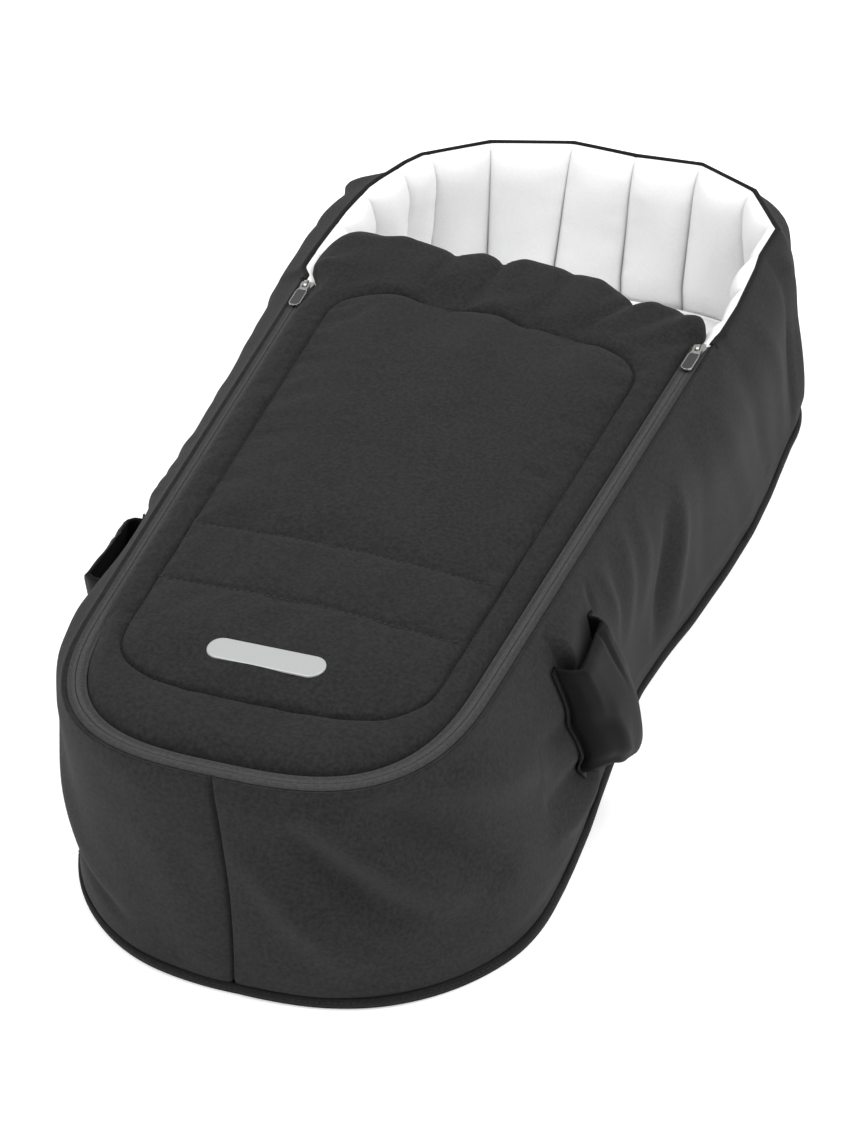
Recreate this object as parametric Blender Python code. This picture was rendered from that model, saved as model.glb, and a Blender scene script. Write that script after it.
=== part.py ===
"""Soft carrycot for a pushchair: a padded fabric shell on a stiff base board, with a quilted white
liner, a mattress, a zipped padded apron over the foot half and a frame sleeve on each side wall.

Metres, +Z up. The cot lies on the floor with its foot end at -Y and its head end at +Y. The origin is
the centre of its footprint. Every outline runs from the foot centre along the right side to the head
centre, and the left side mirrors it.
"""

import math

import bmesh
import bpy
from mathutils import Vector

# Overall size
HALF_LENGTH = 0.3945
WALL_HEIGHT = 0.168

# Outline on the floor
BASE_FOOT_HALF_WIDTH = 0.145
BASE_HEAD_HALF_WIDTH = 0.171
BASE_FOOT_SET_IN = 0.012
BASE_FOOT_CAP = 0.152
BASE_HEAD_CAP = 0.112
BASE_FOOT_POWER = 2.41
BASE_HEAD_POWER = 3.0
WAIST_DEPTH = 0.006
WAIST_FROM_FOOT = 0.385
WAIST_HALF_SPAN = 0.130

# Outline of the top seam: the zip round the foot half and the bound rim round the head
TOP_FOOT_HALF_WIDTH = 0.121
TOP_HEAD_HALF_WIDTH = 0.150
TOP_FOOT_CAP = 0.123
TOP_HEAD_CAP = 0.160
TOP_FOOT_POWER = 2.94
TOP_HEAD_POWER = 3.03

# How far the padded wall swells out between the floor and the top seam
FOOT_BULGE = 0.003
SIDE_BULGE = 0.015
HEAD_BULGE = 0.009
FOOT_BULGE_FROM_FOOT = 0.020
SIDE_BULGE_FROM_FOOT = 0.420
BULGE_TO_HEAD_FROM_FOOT = 0.600
BULGE_HEIGHT_POWER = 2.2

# Cloth, foam and seams of the wall
SEAM_GAP = 0.0003
SHELL_CLOTH = 0.0012
LINER_CLOTH = 0.0010
WALL_FOAM = 0.0085
FOAM_TUCK = 0.0012
WALL_SHOULDER_SHARE = 0.18
FOAM_TOP_BELOW_SEAM = 0.0050
LINER_TOP_BELOW_SEAM = 0.0050

# Base
BOTTOM_CLOTH = 0.0012
BASE_STRIP_HEIGHT = 0.010
BASE_STRIP_CLOTH = 0.0015
BASE_STRIP_SWELL = 0.0010
BOARD_THICKNESS = 0.0040
BOARD_INSET = 0.0021
FLOOR_CLOTH = 0.0010

# Mattress
MATTRESS_THICKNESS = 0.038
MATTRESS_CROWN = 0.005
MATTRESS_INSET = 0.0165
MATTRESS_EDGE_DRAW = 0.004
MATTRESS_COVER = 0.0012

# Quilted head liner
QUILT_PITCH = 0.052
QUILT_PUFF = 0.0038
QUILT_CLEAR = 0.008
QUILT_FADE_POWER = 6
QUILT_START_PAST_SLIDER = 0.010

# Binding over the head rim
BINDING_HEIGHT = 0.0045
BINDING_CLOTH = 0.0006

# Zip
TAPE_WIDTH = 0.0059
TAPE_THICKNESS = 0.0008
CHAIN_SLOT = 0.0012
COIL_WIDTH = 0.0015
COIL_HEIGHT = 0.0022
APRON_TAPE_SHORT = 0.0075
BODY_TAPE_PAST_SLIDER = 0.0095
STOP_LENGTH = 0.0025
STOP_WIDTH = 0.0022
STOP_THICKNESS = 0.0008

# Sliders and pull tabs
SLIDER_FROM_FOOT = 0.506
SLIDER_LENGTH = 0.0120
SLIDER_NOSE_WIDTH = 0.0070
SLIDER_WIDTH = 0.0092
SLIDER_PLATE = 0.0012
SLIDER_POST_WIDTH = 0.0006
SLIDER_POST_LENGTH = 0.0030
BRIDGE_LENGTH = 0.0070
BRIDGE_WIDTH = 0.0018
BRIDGE_HOLE_HEIGHT = 0.0026
BRIDGE_HOLE_LENGTH = 0.0040
BRIDGE_THICKNESS = 0.0010
TAB_LENGTH = 0.0300
TAB_WIDTH = 0.0078
TAB_NECK_WIDTH = 0.0058
TAB_THICKNESS = 0.0012
TAB_EYE_LENGTH = 0.0052
TAB_EYE_WIDTH = 0.0032
TAB_RIM = 0.0009
TAB_RECESS = 0.0003
TAB_RECESS_START = 0.0110

# Apron
APRON_HEAD_FROM_FOOT = 0.585
APRON_SIDE_FROM_FOOT = 0.520
APRON_HEAD_POWER = 2.8
APRON_LINING_CLOTH = 0.0008
APRON_WADDING = 0.0040
APRON_BOTTOM_BELOW_SEAM = 0.0040
APRON_LIP = 0.0012
APRON_EDGE_HEIGHT = 0.0030
APRON_SHOULDER_HEIGHT = 0.0062
APRON_CREST_HEIGHT = 0.0082
APRON_SEAM_HEIGHT = 0.0050
APRON_SHOULDER_SHARE = 0.13
APRON_CREST_SHARE = 0.5
APRON_INNER_SHARE = 0.86
PANEL_FOOT_HALF_WIDTH = 0.090
PANEL_HEAD_HALF_WIDTH = 0.111
PANEL_FOOT_FROM_FOOT = 0.059
PANEL_HEAD_FROM_FOOT = 0.497
PANEL_CAP = 0.056
PANEL_POWER = 3.4
PANEL_CREST_HEIGHT = 0.0105
PANEL_CROWN = 0.0025
PANEL_EDGE_RUN = 0.020
STITCH_LINE_1_FROM_FOOT = 0.147
STITCH_LINE_2_FROM_FOOT = 0.205
STITCH_HALF_WIDTH = 0.006
STITCH_DEPTH = 0.0022

# Blank badge
BADGE_LENGTH = 0.069
BADGE_WIDTH = 0.016
BADGE_THICKNESS = 0.0010
BADGE_FROM_FOOT = 0.090

# Frame sleeves
SLEEVE_NEAR_FROM_FOOT = 0.180
SLEEVE_FAR_FROM_FOOT = 0.255
SLEEVE_BOTTOM = 0.055
SLEEVE_TOP_BELOW_SEAM = 0.026
SLEEVE_TOP_STANDOFF = 0.0130
SLEEVE_BOTTOM_STANDOFF = 0.0220
SLEEVE_PAD = 0.0035
SLEEVE_NEAR_LEAN = 0.015
SLEEVE_WALL_GAP = 0.0005
SLEEVE_SIDE_RUN = 0.010
SLEEVE_BINDING_WIDTH = 0.0050
SLEEVE_BINDING_CLOTH = 0.0012

# Facets
SHARP_EDGE_DEGREES = 35
FOOT_STEPS = 9
SIDE_STEPS = 6
HEAD_STEPS = 9
ROW_REACH = 4
WALL_SHARES = [0.20, 0.38, 0.55, 0.70, 0.82, 0.92]


def from_foot(distance):
    """Y of a place that lies this far from the foot end."""
    return distance - HALF_LENGTH


def ease(share):
    share = min(max(share, 0), 1)
    return share * share * (3 - 2 * share)


def mix(a, b, share):
    return a + (b - a) * share


def make_material(name, colour, roughness, metallic=0):
    material = bpy.data.materials.new(name)
    material.use_nodes = True
    shader = material.node_tree.nodes["Principled BSDF"]
    shader.inputs["Base Color"].default_value = (*colour, 1)
    shader.inputs["Roughness"].default_value = roughness
    shader.inputs["Metallic"].default_value = metallic
    material.diffuse_color = (*colour, 1)
    return material


def mesh_of(name, bm):
    """The mesh of a finished bmesh, with its faces pointing out."""
    bmesh.ops.recalc_face_normals(bm, faces=bm.faces)
    mesh = bpy.data.meshes.new(name)
    bm.to_mesh(mesh)
    bm.free()
    return mesh


def solid(name, bm, material):
    """Puts a finished bmesh into the scene as one named piece."""
    mesh = mesh_of(name, bm)
    mesh.materials.append(material)
    mesh.shade_smooth()
    mesh.set_sharp_from_angle(angle=math.radians(SHARP_EDGE_DEGREES))
    piece = bpy.data.objects.new(name, mesh)
    bpy.context.scene.collection.objects.link(piece)
    return piece


def layered(name, layers, material):
    """A closed solid through a stack of grids. Faces fill the first and the last, and join their edges."""
    rows = len(layers[0])
    columns = len(layers[0][0])
    edge = [(0, column) for column in range(columns)]
    edge += [(row, columns - 1) for row in range(1, rows)]
    edge += [(rows - 1, column) for column in range(columns - 2, -1, -1)]
    edge += [(row, 0) for row in range(rows - 2, 0, -1)]
    whole = [(row, column) for row in range(rows) for column in range(columns)]
    bm = bmesh.new()
    loops = []
    for index, grid in enumerate(layers):
        filled = index in (0, len(layers) - 1)
        places = whole if filled else edge
        corners = {(row, column): bm.verts.new(grid[row][column]) for row, column in places}
        loops.append([corners[place] for place in edge])
        if not filled:
            continue
        for row in range(rows - 1):
            for column in range(columns - 1):
                around = ((row, column), (row, column + 1), (row + 1, column + 1), (row + 1, column))
                bm.faces.new([corners[place] for place in around])
    for first, second in zip(loops, loops[1:]):
        for index in range(len(edge)):
            beside = (index + 1) % len(edge)
            bm.faces.new((first[index], first[beside], second[beside], second[index]))
    solid(name, bm, material)


def slab(name, front, back, material, wrap=False):
    """A closed solid between two grids of points, row by row. Wrap joins the last column to the first."""
    rows = len(front)
    columns = len(front[0])
    bm = bmesh.new()
    face_side = [[bm.verts.new(point) for point in row] for row in front]
    back_side = [[bm.verts.new(point) for point in row] for row in back]
    spans = columns if wrap else columns - 1
    for row in range(rows - 1):
        for column in range(spans):
            beside = (column + 1) % columns
            for grid in (face_side, back_side):
                corners = (grid[row][column], grid[row][beside], grid[row + 1][beside], grid[row + 1][column])
                bm.faces.new(corners)
    for row in (0, rows - 1):
        for column in range(spans):
            beside = (column + 1) % columns
            first, second = face_side[row], back_side[row]
            bm.faces.new((first[column], first[beside], second[beside], second[column]))
    if not wrap:
        for column in (0, columns - 1):
            for row in range(rows - 1):
                first = (face_side[row][column], face_side[row + 1][column])
                second = (back_side[row + 1][column], back_side[row][column])
                bm.faces.new(first + second)
    solid(name, bm, material)


class Outline:
    """A tapering outline with a rounded cap at each end, symmetric about X = 0."""

    def __init__(self, half_widths, ends, caps, powers, waist=0):
        self.half_widths = half_widths
        self.ends = ends
        self.caps = caps
        self.powers = powers
        self.waist = waist

    def half_width(self, y):
        start = self.ends[0] + self.caps[0]
        stop = self.ends[1] - self.caps[1]
        width = mix(*self.half_widths, (y - start) / (stop - start))
        offset = (y - from_foot(WAIST_FROM_FOOT)) / WAIST_HALF_SPAN
        return width - self.waist * ease(1 - abs(offset))

    def edge(self, y):
        """Distance from the middle to the outline at this y, rounded caps included."""
        width = self.half_width(y)
        for end in (0, 1):
            in_from_end = abs(y - self.ends[end]) / self.caps[end]
            if in_from_end < 1:
                width *= (1 - (1 - in_from_end) ** self.powers[end]) ** (1 / self.powers[end])
        return width

    def cap(self, end, steps):
        """Points of one cap, from the end's centre to its widest place."""
        points = []
        for step in range(steps + 1):
            turn = math.pi / 2 * step / steps
            across = math.sin(turn) ** (2 / self.powers[end])
            along = 1 - math.cos(turn) ** (2 / self.powers[end])
            toward_middle = 1 if end == 0 else -1
            y = self.ends[end] + toward_middle * self.caps[end] * along
            points.append((self.half_width(y) * across, y))
        return points

    def points(self, side_places=None):
        """The right half, from the foot centre to the head centre. Side places are y between the caps."""
        foot = self.cap(0, FOOT_STEPS)
        head = self.cap(1, HEAD_STEPS)
        if side_places is None:
            steps = range(1, SIDE_STEPS)
            side_places = [mix(foot[-1][1], head[-1][1], step / SIDE_STEPS) for step in steps]
        sides = [(self.half_width(y), y) for y in side_places]
        return foot + sides + head[::-1]


def offset_points(points, outward):
    """Moves a half outline outward, so that each facet moves by the same distance. Outward may be a list."""
    distances = outward if isinstance(outward, list) else [outward] * len(points)
    whole = [(-points[1][0], points[1][1])] + points + [(-points[-2][0], points[-2][1])]
    moved = []
    for index, distance in enumerate(distances):
        before = Vector(whole[index + 1]) - Vector(whole[index])
        after = Vector(whole[index + 2]) - Vector(whole[index + 1])
        normal = Vector((before.y, -before.x)).normalized() + Vector((after.y, -after.x)).normalized()
        normal.normalize()
        facet = Vector((after.y, -after.x)).normalized()
        point = Vector(points[index]) + normal * distance / normal.dot(facet)
        moved.append((point.x, point.y))
    return moved


def both_sides(points):
    """The whole closed outline from its right half."""
    return points + [(-x, y) for x, y in points[-2:0:-1]]


def grid_in(points):
    """Rows across a half outline. The end rows run along its ends, and the rows between straighten."""
    last = len(points) - 1
    reach = ROW_REACH
    fade_rows = ROW_REACH
    rows = []
    for index in range(reach, last - reach + 1):
        end_x, end_y = points[index]
        foot_fade = max(0, 1 - (index - reach) / fade_rows)
        head_fade = max(0, 1 - (last - reach - index) / fade_rows)
        row = []
        for column in range(-reach, reach + 1):
            foot = points[abs(column)]
            head = points[last - abs(column)]
            share = mix(foot[0] / points[reach][0], head[0] / points[last - reach][0],
                        (index - reach) / (last - 2 * reach))
            sag = foot_fade * (foot[1] - points[reach][1]) + head_fade * (head[1] - points[last - reach][1])
            row.append((math.copysign(share, column) * end_x if column else 0, end_y + sag))
        rows.append(row)
    return rows


def sheet(name, points, bottom, top, material):
    """A flat solid inside a half outline. Bottom and top are heights, or functions of x and y."""
    grid = grid_in(points)
    heights = [level if callable(level) else (lambda x, y, level=level: level) for level in (top, bottom)]
    layers = [[[(x, y, height(x, y)) for x, y in row] for row in grid] for height in heights]
    layered(name, layers, material)


BASE = Outline(
    (BASE_FOOT_HALF_WIDTH, BASE_HEAD_HALF_WIDTH),
    (-HALF_LENGTH + BASE_FOOT_SET_IN, HALF_LENGTH - HEAD_BULGE),
    (BASE_FOOT_CAP, BASE_HEAD_CAP),
    (BASE_FOOT_POWER, BASE_HEAD_POWER),
    WAIST_DEPTH,
)
TOP = Outline(
    (TOP_FOOT_HALF_WIDTH, TOP_HEAD_HALF_WIDTH),
    (-HALF_LENGTH, HALF_LENGTH - HEAD_BULGE),
    (TOP_FOOT_CAP, TOP_HEAD_CAP),
    (TOP_FOOT_POWER, TOP_HEAD_POWER),
)
BASE_POINTS = BASE.points()
TOP_POINTS = TOP.points()
LAST_STATION = len(TOP_POINTS) - 1


def bulge_at(y):
    """How far the wall swells out at its fullest height."""
    side_start = from_foot(FOOT_BULGE_FROM_FOOT)
    side_full = from_foot(SIDE_BULGE_FROM_FOOT)
    head_start = from_foot(BULGE_TO_HEAD_FROM_FOOT)
    side = mix(FOOT_BULGE, SIDE_BULGE, ease((y - side_start) / (side_full - side_start)))
    return mix(side, HEAD_BULGE, ease((y - head_start) / (HALF_LENGTH - head_start)))


def outer_offset(share, y):
    """The shell's outer face, measured outward from the straight line between the two outlines."""
    return bulge_at(y) * math.sin(math.pi * share**BULGE_HEIGHT_POWER)


def inner_offset(share):
    """The liner's outer face, measured the same way: foam deep down the wall, and shallow at the seam."""
    rise = max(0, (share - 1 + WALL_SHOULDER_SHARE) / WALL_SHOULDER_SHARE)
    return -SHELL_CLOTH - SEAM_GAP - WALL_FOAM * math.sqrt(1 - min(rise, 1) ** 2)


def wall_ring(share, offset):
    """Half outline of the wall at a share of its height. Offset is a function of share and y."""
    straight = []
    for base, top in zip(BASE_POINTS, TOP_POINTS):
        straight.append((mix(base[0], top[0], share), mix(base[1], top[1], share)))
    return offset_points(straight, [offset(share, y) for _, y in straight])


def at_station(ring, station):
    """A place on a half outline, by station. Negative stations, and those past the head, lie on the left."""
    if station < 0:
        x, y = at_station(ring, -station)
        return -x, y
    if station > LAST_STATION:
        x, y = at_station(ring, 2 * LAST_STATION - station)
        return -x, y
    whole = min(int(station), LAST_STATION - 1)
    first, second = ring[whole], ring[whole + 1]
    share = station - whole
    return mix(first[0], second[0], share), mix(first[1], second[1], share)


def station_at(y):
    """The station on the right side of the top seam at this y."""
    for index in range(LAST_STATION):
        low, high = TOP_POINTS[index][1], TOP_POINTS[index + 1][1]
        if low <= y <= high:
            return index + (y - low) / (high - low)
    return LAST_STATION


def step_past(station, distance):
    """The station this far along the top seam from another, toward the head for a positive distance."""
    here = Vector(at_station(TOP_POINTS, station))
    pace = (Vector(at_station(TOP_POINTS, station + 0.5)) - here).length * 2
    return station + distance / pace


def stations_between(start, stop):
    inside = [index for index in range(math.ceil(start), math.floor(stop) + 1) if start < index < stop]
    return [start] + inside + [stop]


def height_share(z):
    return z / WALL_HEIGHT


def wall_piece(name, shares, stations, outer, inner, material, wrap=False):
    """A solid between two offsets of the wall, over some stations and heights."""
    grids = []
    for offset in (outer, inner):
        grid = []
        for share in shares:
            ring = wall_ring(share, offset)
            grid.append([(*at_station(ring, station), share * WALL_HEIGHT) for station in stations])
        grids.append(grid)
    slab(name, *grids, material, wrap)


def shell_face(share, y):
    return outer_offset(share, y)


def shell_back(share, y):
    return outer_offset(share, y) - SHELL_CLOTH


def foam_face(share, y):
    """The foam's outer face, tucked in behind the base strip below the shell."""
    tuck = FOAM_TUCK if share <= height_share(SHELL_BOTTOM) else 0
    return outer_offset(share, y) - SHELL_CLOTH - SEAM_GAP - tuck


def foam_back(share, _):
    return inner_offset(share) + SEAM_GAP


def liner_face(share, _):
    return inner_offset(share)


def liner_back(share, _):
    return inner_offset(share) - LINER_CLOTH


# Heights that stack up from the floor
BOTTOM_TOP = BOTTOM_CLOTH
BOARD_BOTTOM = BOTTOM_TOP + SEAM_GAP
BOARD_TOP = BOARD_BOTTOM + BOARD_THICKNESS
WALL_BOTTOM = BOARD_TOP + SEAM_GAP
FLOOR_TOP = WALL_BOTTOM + FLOOR_CLOTH
MATTRESS_BOTTOM = FLOOR_TOP + SEAM_GAP
MATTRESS_TOP = MATTRESS_BOTTOM + MATTRESS_THICKNESS
SHELL_BOTTOM = BASE_STRIP_HEIGHT + SEAM_GAP
TAPE_BOTTOM = WALL_HEIGHT + SEAM_GAP
TAPE_TOP = TAPE_BOTTOM + TAPE_THICKNESS
COIL_TOP = TAPE_BOTTOM - SEAM_GAP
COIL_BOTTOM = COIL_TOP - COIL_HEIGHT
SLEEVE_TOP = WALL_HEIGHT - SLEEVE_TOP_BELOW_SEAM

# Stations where pieces end
CENTRE_GAP = SEAM_GAP / 2
SLIDER_STATION = station_at(from_foot(SLIDER_FROM_FOOT))
BODY_TAPE_END = step_past(SLIDER_STATION, BODY_TAPE_PAST_SLIDER)
APRON_TAPE_END = step_past(SLIDER_STATION, -APRON_TAPE_SHORT)
LINER_SPLIT = step_past(SLIDER_STATION, QUILT_START_PAST_SLIDER)
FOOT_SPLIT = 6
HEAD_SPLIT = LAST_STATION - 5
SIDE_SHARES = [height_share(SHELL_BOTTOM)] + WALL_SHARES
FOAM_TOP = height_share(WALL_HEIGHT - FOAM_TOP_BELOW_SEAM)
LINER_TOP = height_share(WALL_HEIGHT - LINER_TOP_BELOW_SEAM)


def split_pair(station):
    """The two ends that a seam gap leaves at a station: the near one and the far one."""
    return step_past(station, -CENTRE_GAP), step_past(station, CENTRE_GAP)


def centre_ends():
    """Stations of a right-hand piece that stops half a seam gap from the centre at the foot and the head."""
    foot = step_past(0, CENTRE_GAP)
    head = LAST_STATION - CENTRE_GAP / TOP_POINTS[LAST_STATION - 1][0]
    return foot, head


def make_base(cloth, board, lining):
    """Base cloth, its turned-up strip, the stiff board and the floor of the liner."""
    base_inner = offset_points(BASE_POINTS, -BOARD_INSET)
    sheet("bottom_panel", BASE_POINTS, 0, BOTTOM_TOP, cloth)
    sheet("base_board", base_inner, BOARD_BOTTOM, BOARD_TOP, board)
    grids = []
    for face, swell in ((0, BASE_STRIP_SWELL), (-BASE_STRIP_CLOTH, 0)):
        rings = (offset_points(BASE_POINTS, face), offset_points(BASE_POINTS, face + swell))
        rows = ((BOARD_BOTTOM, rings[0]), (mix(BOARD_BOTTOM, BASE_STRIP_HEIGHT, 0.5), rings[1]),
                (BASE_STRIP_HEIGHT, rings[0]))
        grids.append([[(x, y, z) for x, y in both_sides(ring)] for z, ring in rows])
    slab("base_strip", *grids, cloth, wrap=True)
    floor = wall_ring(height_share(FLOOR_TOP), lambda share, y: liner_back(share, y) - SEAM_GAP)
    sheet("floor_liner", offset_points(floor, -QUILT_PUFF), WALL_BOTTOM, FLOOR_TOP, lining)


def make_walls(shell, foam, lining):
    """Outer shell in two halves, four blocks of wall foam, and the plain liner of the foot half."""
    foot_end, head_end = centre_ends()
    shares = SIDE_SHARES + [FOAM_TOP, 1]
    right = stations_between(foot_end, head_end)
    left = [-station for station in reversed(right)]
    wall_piece("shell_right", shares, right, shell_face, shell_back, shell)
    wall_piece("shell_left", shares, left, shell_face, shell_back, shell)
    foot_near, foot_far = split_pair(FOOT_SPLIT)
    head_near, head_far = split_pair(HEAD_SPLIT)
    shares = [height_share(WALL_BOTTOM)] + SIDE_SHARES + [FOAM_TOP]
    foot = stations_between(-foot_near, foot_near)
    side = stations_between(foot_far, head_near)
    head = stations_between(head_far, 2 * LAST_STATION - head_far)
    wall_piece("foot_foam", shares, foot, foam_face, foam_back, foam)
    wall_piece("side_foam_right", shares, side, foam_face, foam_back, foam)
    mirrored = [-station for station in reversed(side)]
    wall_piece("side_foam_left", shares, mirrored, foam_face, foam_back, foam)
    wall_piece("head_foam", shares, head, foam_face, foam_back, foam)
    shares = [height_share(WALL_BOTTOM)] + SIDE_SHARES + [LINER_TOP]
    side = stations_between(foot_far, split_pair(LINER_SPLIT)[0])
    mirrored = [-station for station in reversed(side)]
    wall_piece("foot_liner", shares, foot, liner_face, liner_back, lining)
    wall_piece("side_liner_right", shares, side, liner_face, liner_back, lining)
    wall_piece("side_liner_left", shares, mirrored, liner_face, liner_back, lining)


def quilt_stations():
    """Stations round the head liner: the facets' corners, each channel's seam and, where it fits, its middle.

    Each comes with its place in its channel, from 0 at one seam to 1 at the next.
    """
    start = split_pair(LINER_SPLIT)[1]
    corners = stations_between(start, 2 * LAST_STATION - start)
    path = [Vector(at_station(TOP_POINTS, station)) for station in corners]
    lengths = [0]
    for first, second in zip(path, path[1:]):
        lengths.append(lengths[-1] + (second - first).length)
    channels = round(lengths[-1] / QUILT_PITCH)
    pitch = lengths[-1] / channels
    wanted = [*lengths]
    for index in range(1, 2 * channels):
        place = index * pitch / 2
        nearest = min(abs(place - length) for length in wanted)
        if nearest > QUILT_CLEAR or (index % 2 == 0 and nearest > SEAM_GAP):
            wanted.append(place)
    found = []
    for length in sorted(wanted):
        step = next((k for k in range(len(path) - 1) if lengths[k + 1] > length), len(path) - 2)
        inside = (length - lengths[step]) / (lengths[step + 1] - lengths[step])
        found.append((mix(corners[step], corners[step + 1], inside), length / pitch % 1))
    return found


def make_head_liner(lining):
    """White quilted liner round the head, puffed between vertical lines of stitching."""
    sewn = height_share(WALL_HEIGHT - BINDING_HEIGHT)
    shares = [height_share(WALL_BOTTOM)] + SIDE_SHARES + [sewn, 1]
    stations = quilt_stations()
    front = []
    back = []
    for share in shares:
        outer = wall_ring(share, liner_face)
        flat = wall_ring(share, liner_back)
        deep = wall_ring(share, lambda part, y: liner_back(part, y) - QUILT_PUFF)
        fade = math.sqrt(max(0, 1 - (share / sewn) ** QUILT_FADE_POWER))
        front.append([(*at_station(outer, station), share * WALL_HEIGHT) for station, _ in stations])
        row = []
        for station, place in stations:
            puff = math.sin(math.pi * place) * fade
            shallow = at_station(flat, station)
            full = at_station(deep, station)
            point = (mix(shallow[0], full[0], puff), mix(shallow[1], full[1], puff), share * WALL_HEIGHT)
            row.append(point)
        back.append(row)
    slab("head_liner", front, back, lining)


def make_rim_binding(cloth):
    """Bias tape folded over the top edges of the shell and the head liner."""
    stations = [station for station, _ in quilt_stations()]
    low = height_share(WALL_HEIGHT - BINDING_HEIGHT)
    outside = SEAM_GAP + BINDING_CLOTH
    top = WALL_HEIGHT + SEAM_GAP

    def row(share, offset, z):
        ring = wall_ring(share, offset)
        return [(*at_station(ring, station), z) for station in stations]

    def outer(extra):
        return lambda share, y: shell_face(share, y) + extra

    def inner(extra):
        return lambda share, y: liner_back(share, y) - extra

    bottom = low * WALL_HEIGHT
    front = [
        row(low, outer(outside), bottom),
        row(1, outer(outside), top + BINDING_CLOTH),
        row(1, inner(outside), top + BINDING_CLOTH),
        row(low, inner(outside), bottom),
    ]
    back = [
        row(low, outer(SEAM_GAP), bottom),
        row(1, outer(SEAM_GAP), top),
        row(1, inner(SEAM_GAP), top),
        row(low, inner(SEAM_GAP), bottom),
    ]
    slab("rim_binding", front, back, cloth)


def crowned_grid(outline, inset, z, crown=0):
    """A grid inside an outline at one height, with its middle raised."""
    grid = grid_in(offset_points(outline, -inset))
    raised = []
    for index, row in enumerate(grid):
        along = 2 * index / (len(grid) - 1) - 1
        points = []
        for column, (x, y) in enumerate(row):
            across = column / ROW_REACH - 1
            points.append((x, y, z + crown * (1 - across**2) * (1 - along**4)))
        raised.append(points)
    return raised


def make_mattress(cover_cloth, foam):
    """Foam mattress with a crown, and its white cover, which is open underneath like a fitted sheet."""
    outline = wall_ring(height_share(MATTRESS_TOP), lambda share, y: -MATTRESS_INSET)
    middle = mix(MATTRESS_BOTTOM, MATTRESS_TOP, 0.5)
    skin = MATTRESS_COVER + SEAM_GAP

    def levels(inset):
        """Top, middle and bottom grids of a block that lies this far inside the cover's outer face."""
        top = crowned_grid(outline, inset + MATTRESS_EDGE_DRAW, MATTRESS_TOP - inset, MATTRESS_CROWN)
        belly = crowned_grid(outline, inset, middle)
        bottom = crowned_grid(outline, inset + MATTRESS_EDGE_DRAW, MATTRESS_BOTTOM)
        return [top, belly, bottom]

    layered("mattress_cover", levels(0) + levels(MATTRESS_COVER)[::-1], cover_cloth)
    layered("mattress_foam", levels(skin), foam)


def flat_strip(name, insets, heights, stations, material, foot_shifts=(0, 0)):
    """A strip along the top seam, between two distances in from it. Foot shifts move its edges at the foot."""
    rows = []
    for z in heights:
        layer = []
        for inset, shift in zip(insets, foot_shifts):
            beside = offset_points(TOP_POINTS, -inset)
            round_foot = offset_points(TOP_POINTS, -inset - shift)
            rings = [round_foot if abs(station) <= FOOT_STEPS else beside for station in stations]
            layer.append([(*at_station(ring, station), z) for ring, station in zip(rings, stations)])
        rows.append(layer)
    slab(name, *rows, material)


def make_zip(tape, coil):
    """Both halves of the zip: the body's, sewn to the shell's top edge, and the apron's.

    The coils meet round the foot. Along the sides they leave a slot for the sliders' posts.
    """
    body_edge = TAPE_WIDTH
    apron_edge = TAPE_WIDTH + CHAIN_SLOT
    meet = (CHAIN_SLOT - SEAM_GAP) / 2
    slot_start = step_past(FOOT_STEPS, CHAIN_SLOT)
    ends = {"body": BODY_TAPE_END, "apron": APRON_TAPE_END}
    tapes = {"body": (0, body_edge), "apron": (apron_edge, apron_edge + TAPE_WIDTH)}
    coils = {"body": (body_edge - COIL_WIDTH, body_edge), "apron": (apron_edge, apron_edge + COIL_WIDTH)}
    shifts = {"body": (0, meet), "apron": (-meet, 0)}
    for half, end in ends.items():
        stations = stations_between(-end, end)
        flat_strip(f"zip_tape_{half}", tapes[half], (TAPE_TOP, TAPE_BOTTOM), stations, tape)
        stations = sorted([*stations, -slot_start, slot_start])
        flat_strip(f"zip_coil_{half}", coils[half], (COIL_TOP, COIL_BOTTOM), stations, coil, shifts[half])


def apron_outline(side_shares):
    """The apron's outer edge: beside the zip as far as the slider, then rounded across toward the head."""
    ring = offset_points(TOP_POINTS, -2 * TAPE_WIDTH - CHAIN_SLOT - SEAM_GAP)
    side_start = TOP_POINTS[FOOT_STEPS][1]
    side_end = from_foot(APRON_SIDE_FROM_FOOT)
    points = ring[: FOOT_STEPS + 1]
    for share in side_shares:
        points.append(at_station(ring, station_at(mix(side_start, side_end, share))))
    corner_x, corner_y = at_station(ring, station_at(side_end))
    depth = from_foot(APRON_HEAD_FROM_FOOT) - corner_y
    for step in range(HEAD_STEPS + 1):
        turn = math.pi / 2 * step / HEAD_STEPS
        across = max(math.cos(turn), 0) ** (2 / APRON_HEAD_POWER) if step < HEAD_STEPS else 0
        points.append((corner_x * across, corner_y + depth * math.sin(turn) ** (2 / APRON_HEAD_POWER)))
    return points


PANEL = Outline(
    (PANEL_FOOT_HALF_WIDTH, PANEL_HEAD_HALF_WIDTH),
    (from_foot(PANEL_FOOT_FROM_FOOT), from_foot(PANEL_HEAD_FROM_FOOT)),
    (PANEL_CAP, PANEL_CAP),
    (PANEL_POWER, PANEL_POWER),
)
STITCH_LINES = [from_foot(STITCH_LINE_1_FROM_FOOT), from_foot(STITCH_LINE_2_FROM_FOOT)]
APRON_BOTTOM = WALL_HEIGHT - APRON_BOTTOM_BELOW_SEAM
LINING_TOP = APRON_BOTTOM + APRON_LINING_CLOTH
WADDING_BOTTOM = LINING_TOP + SEAM_GAP
WADDING_TOP = WADDING_BOTTOM + APRON_WADDING
BORDER_BOTTOM = WADDING_TOP + SEAM_GAP


def edge_rise(distance):
    """How full the padding is this far inside a seam, from 0 at the seam to 1."""
    return 1 - (1 - min(max(distance / PANEL_EDGE_RUN, 0), 1)) ** 2


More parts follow.
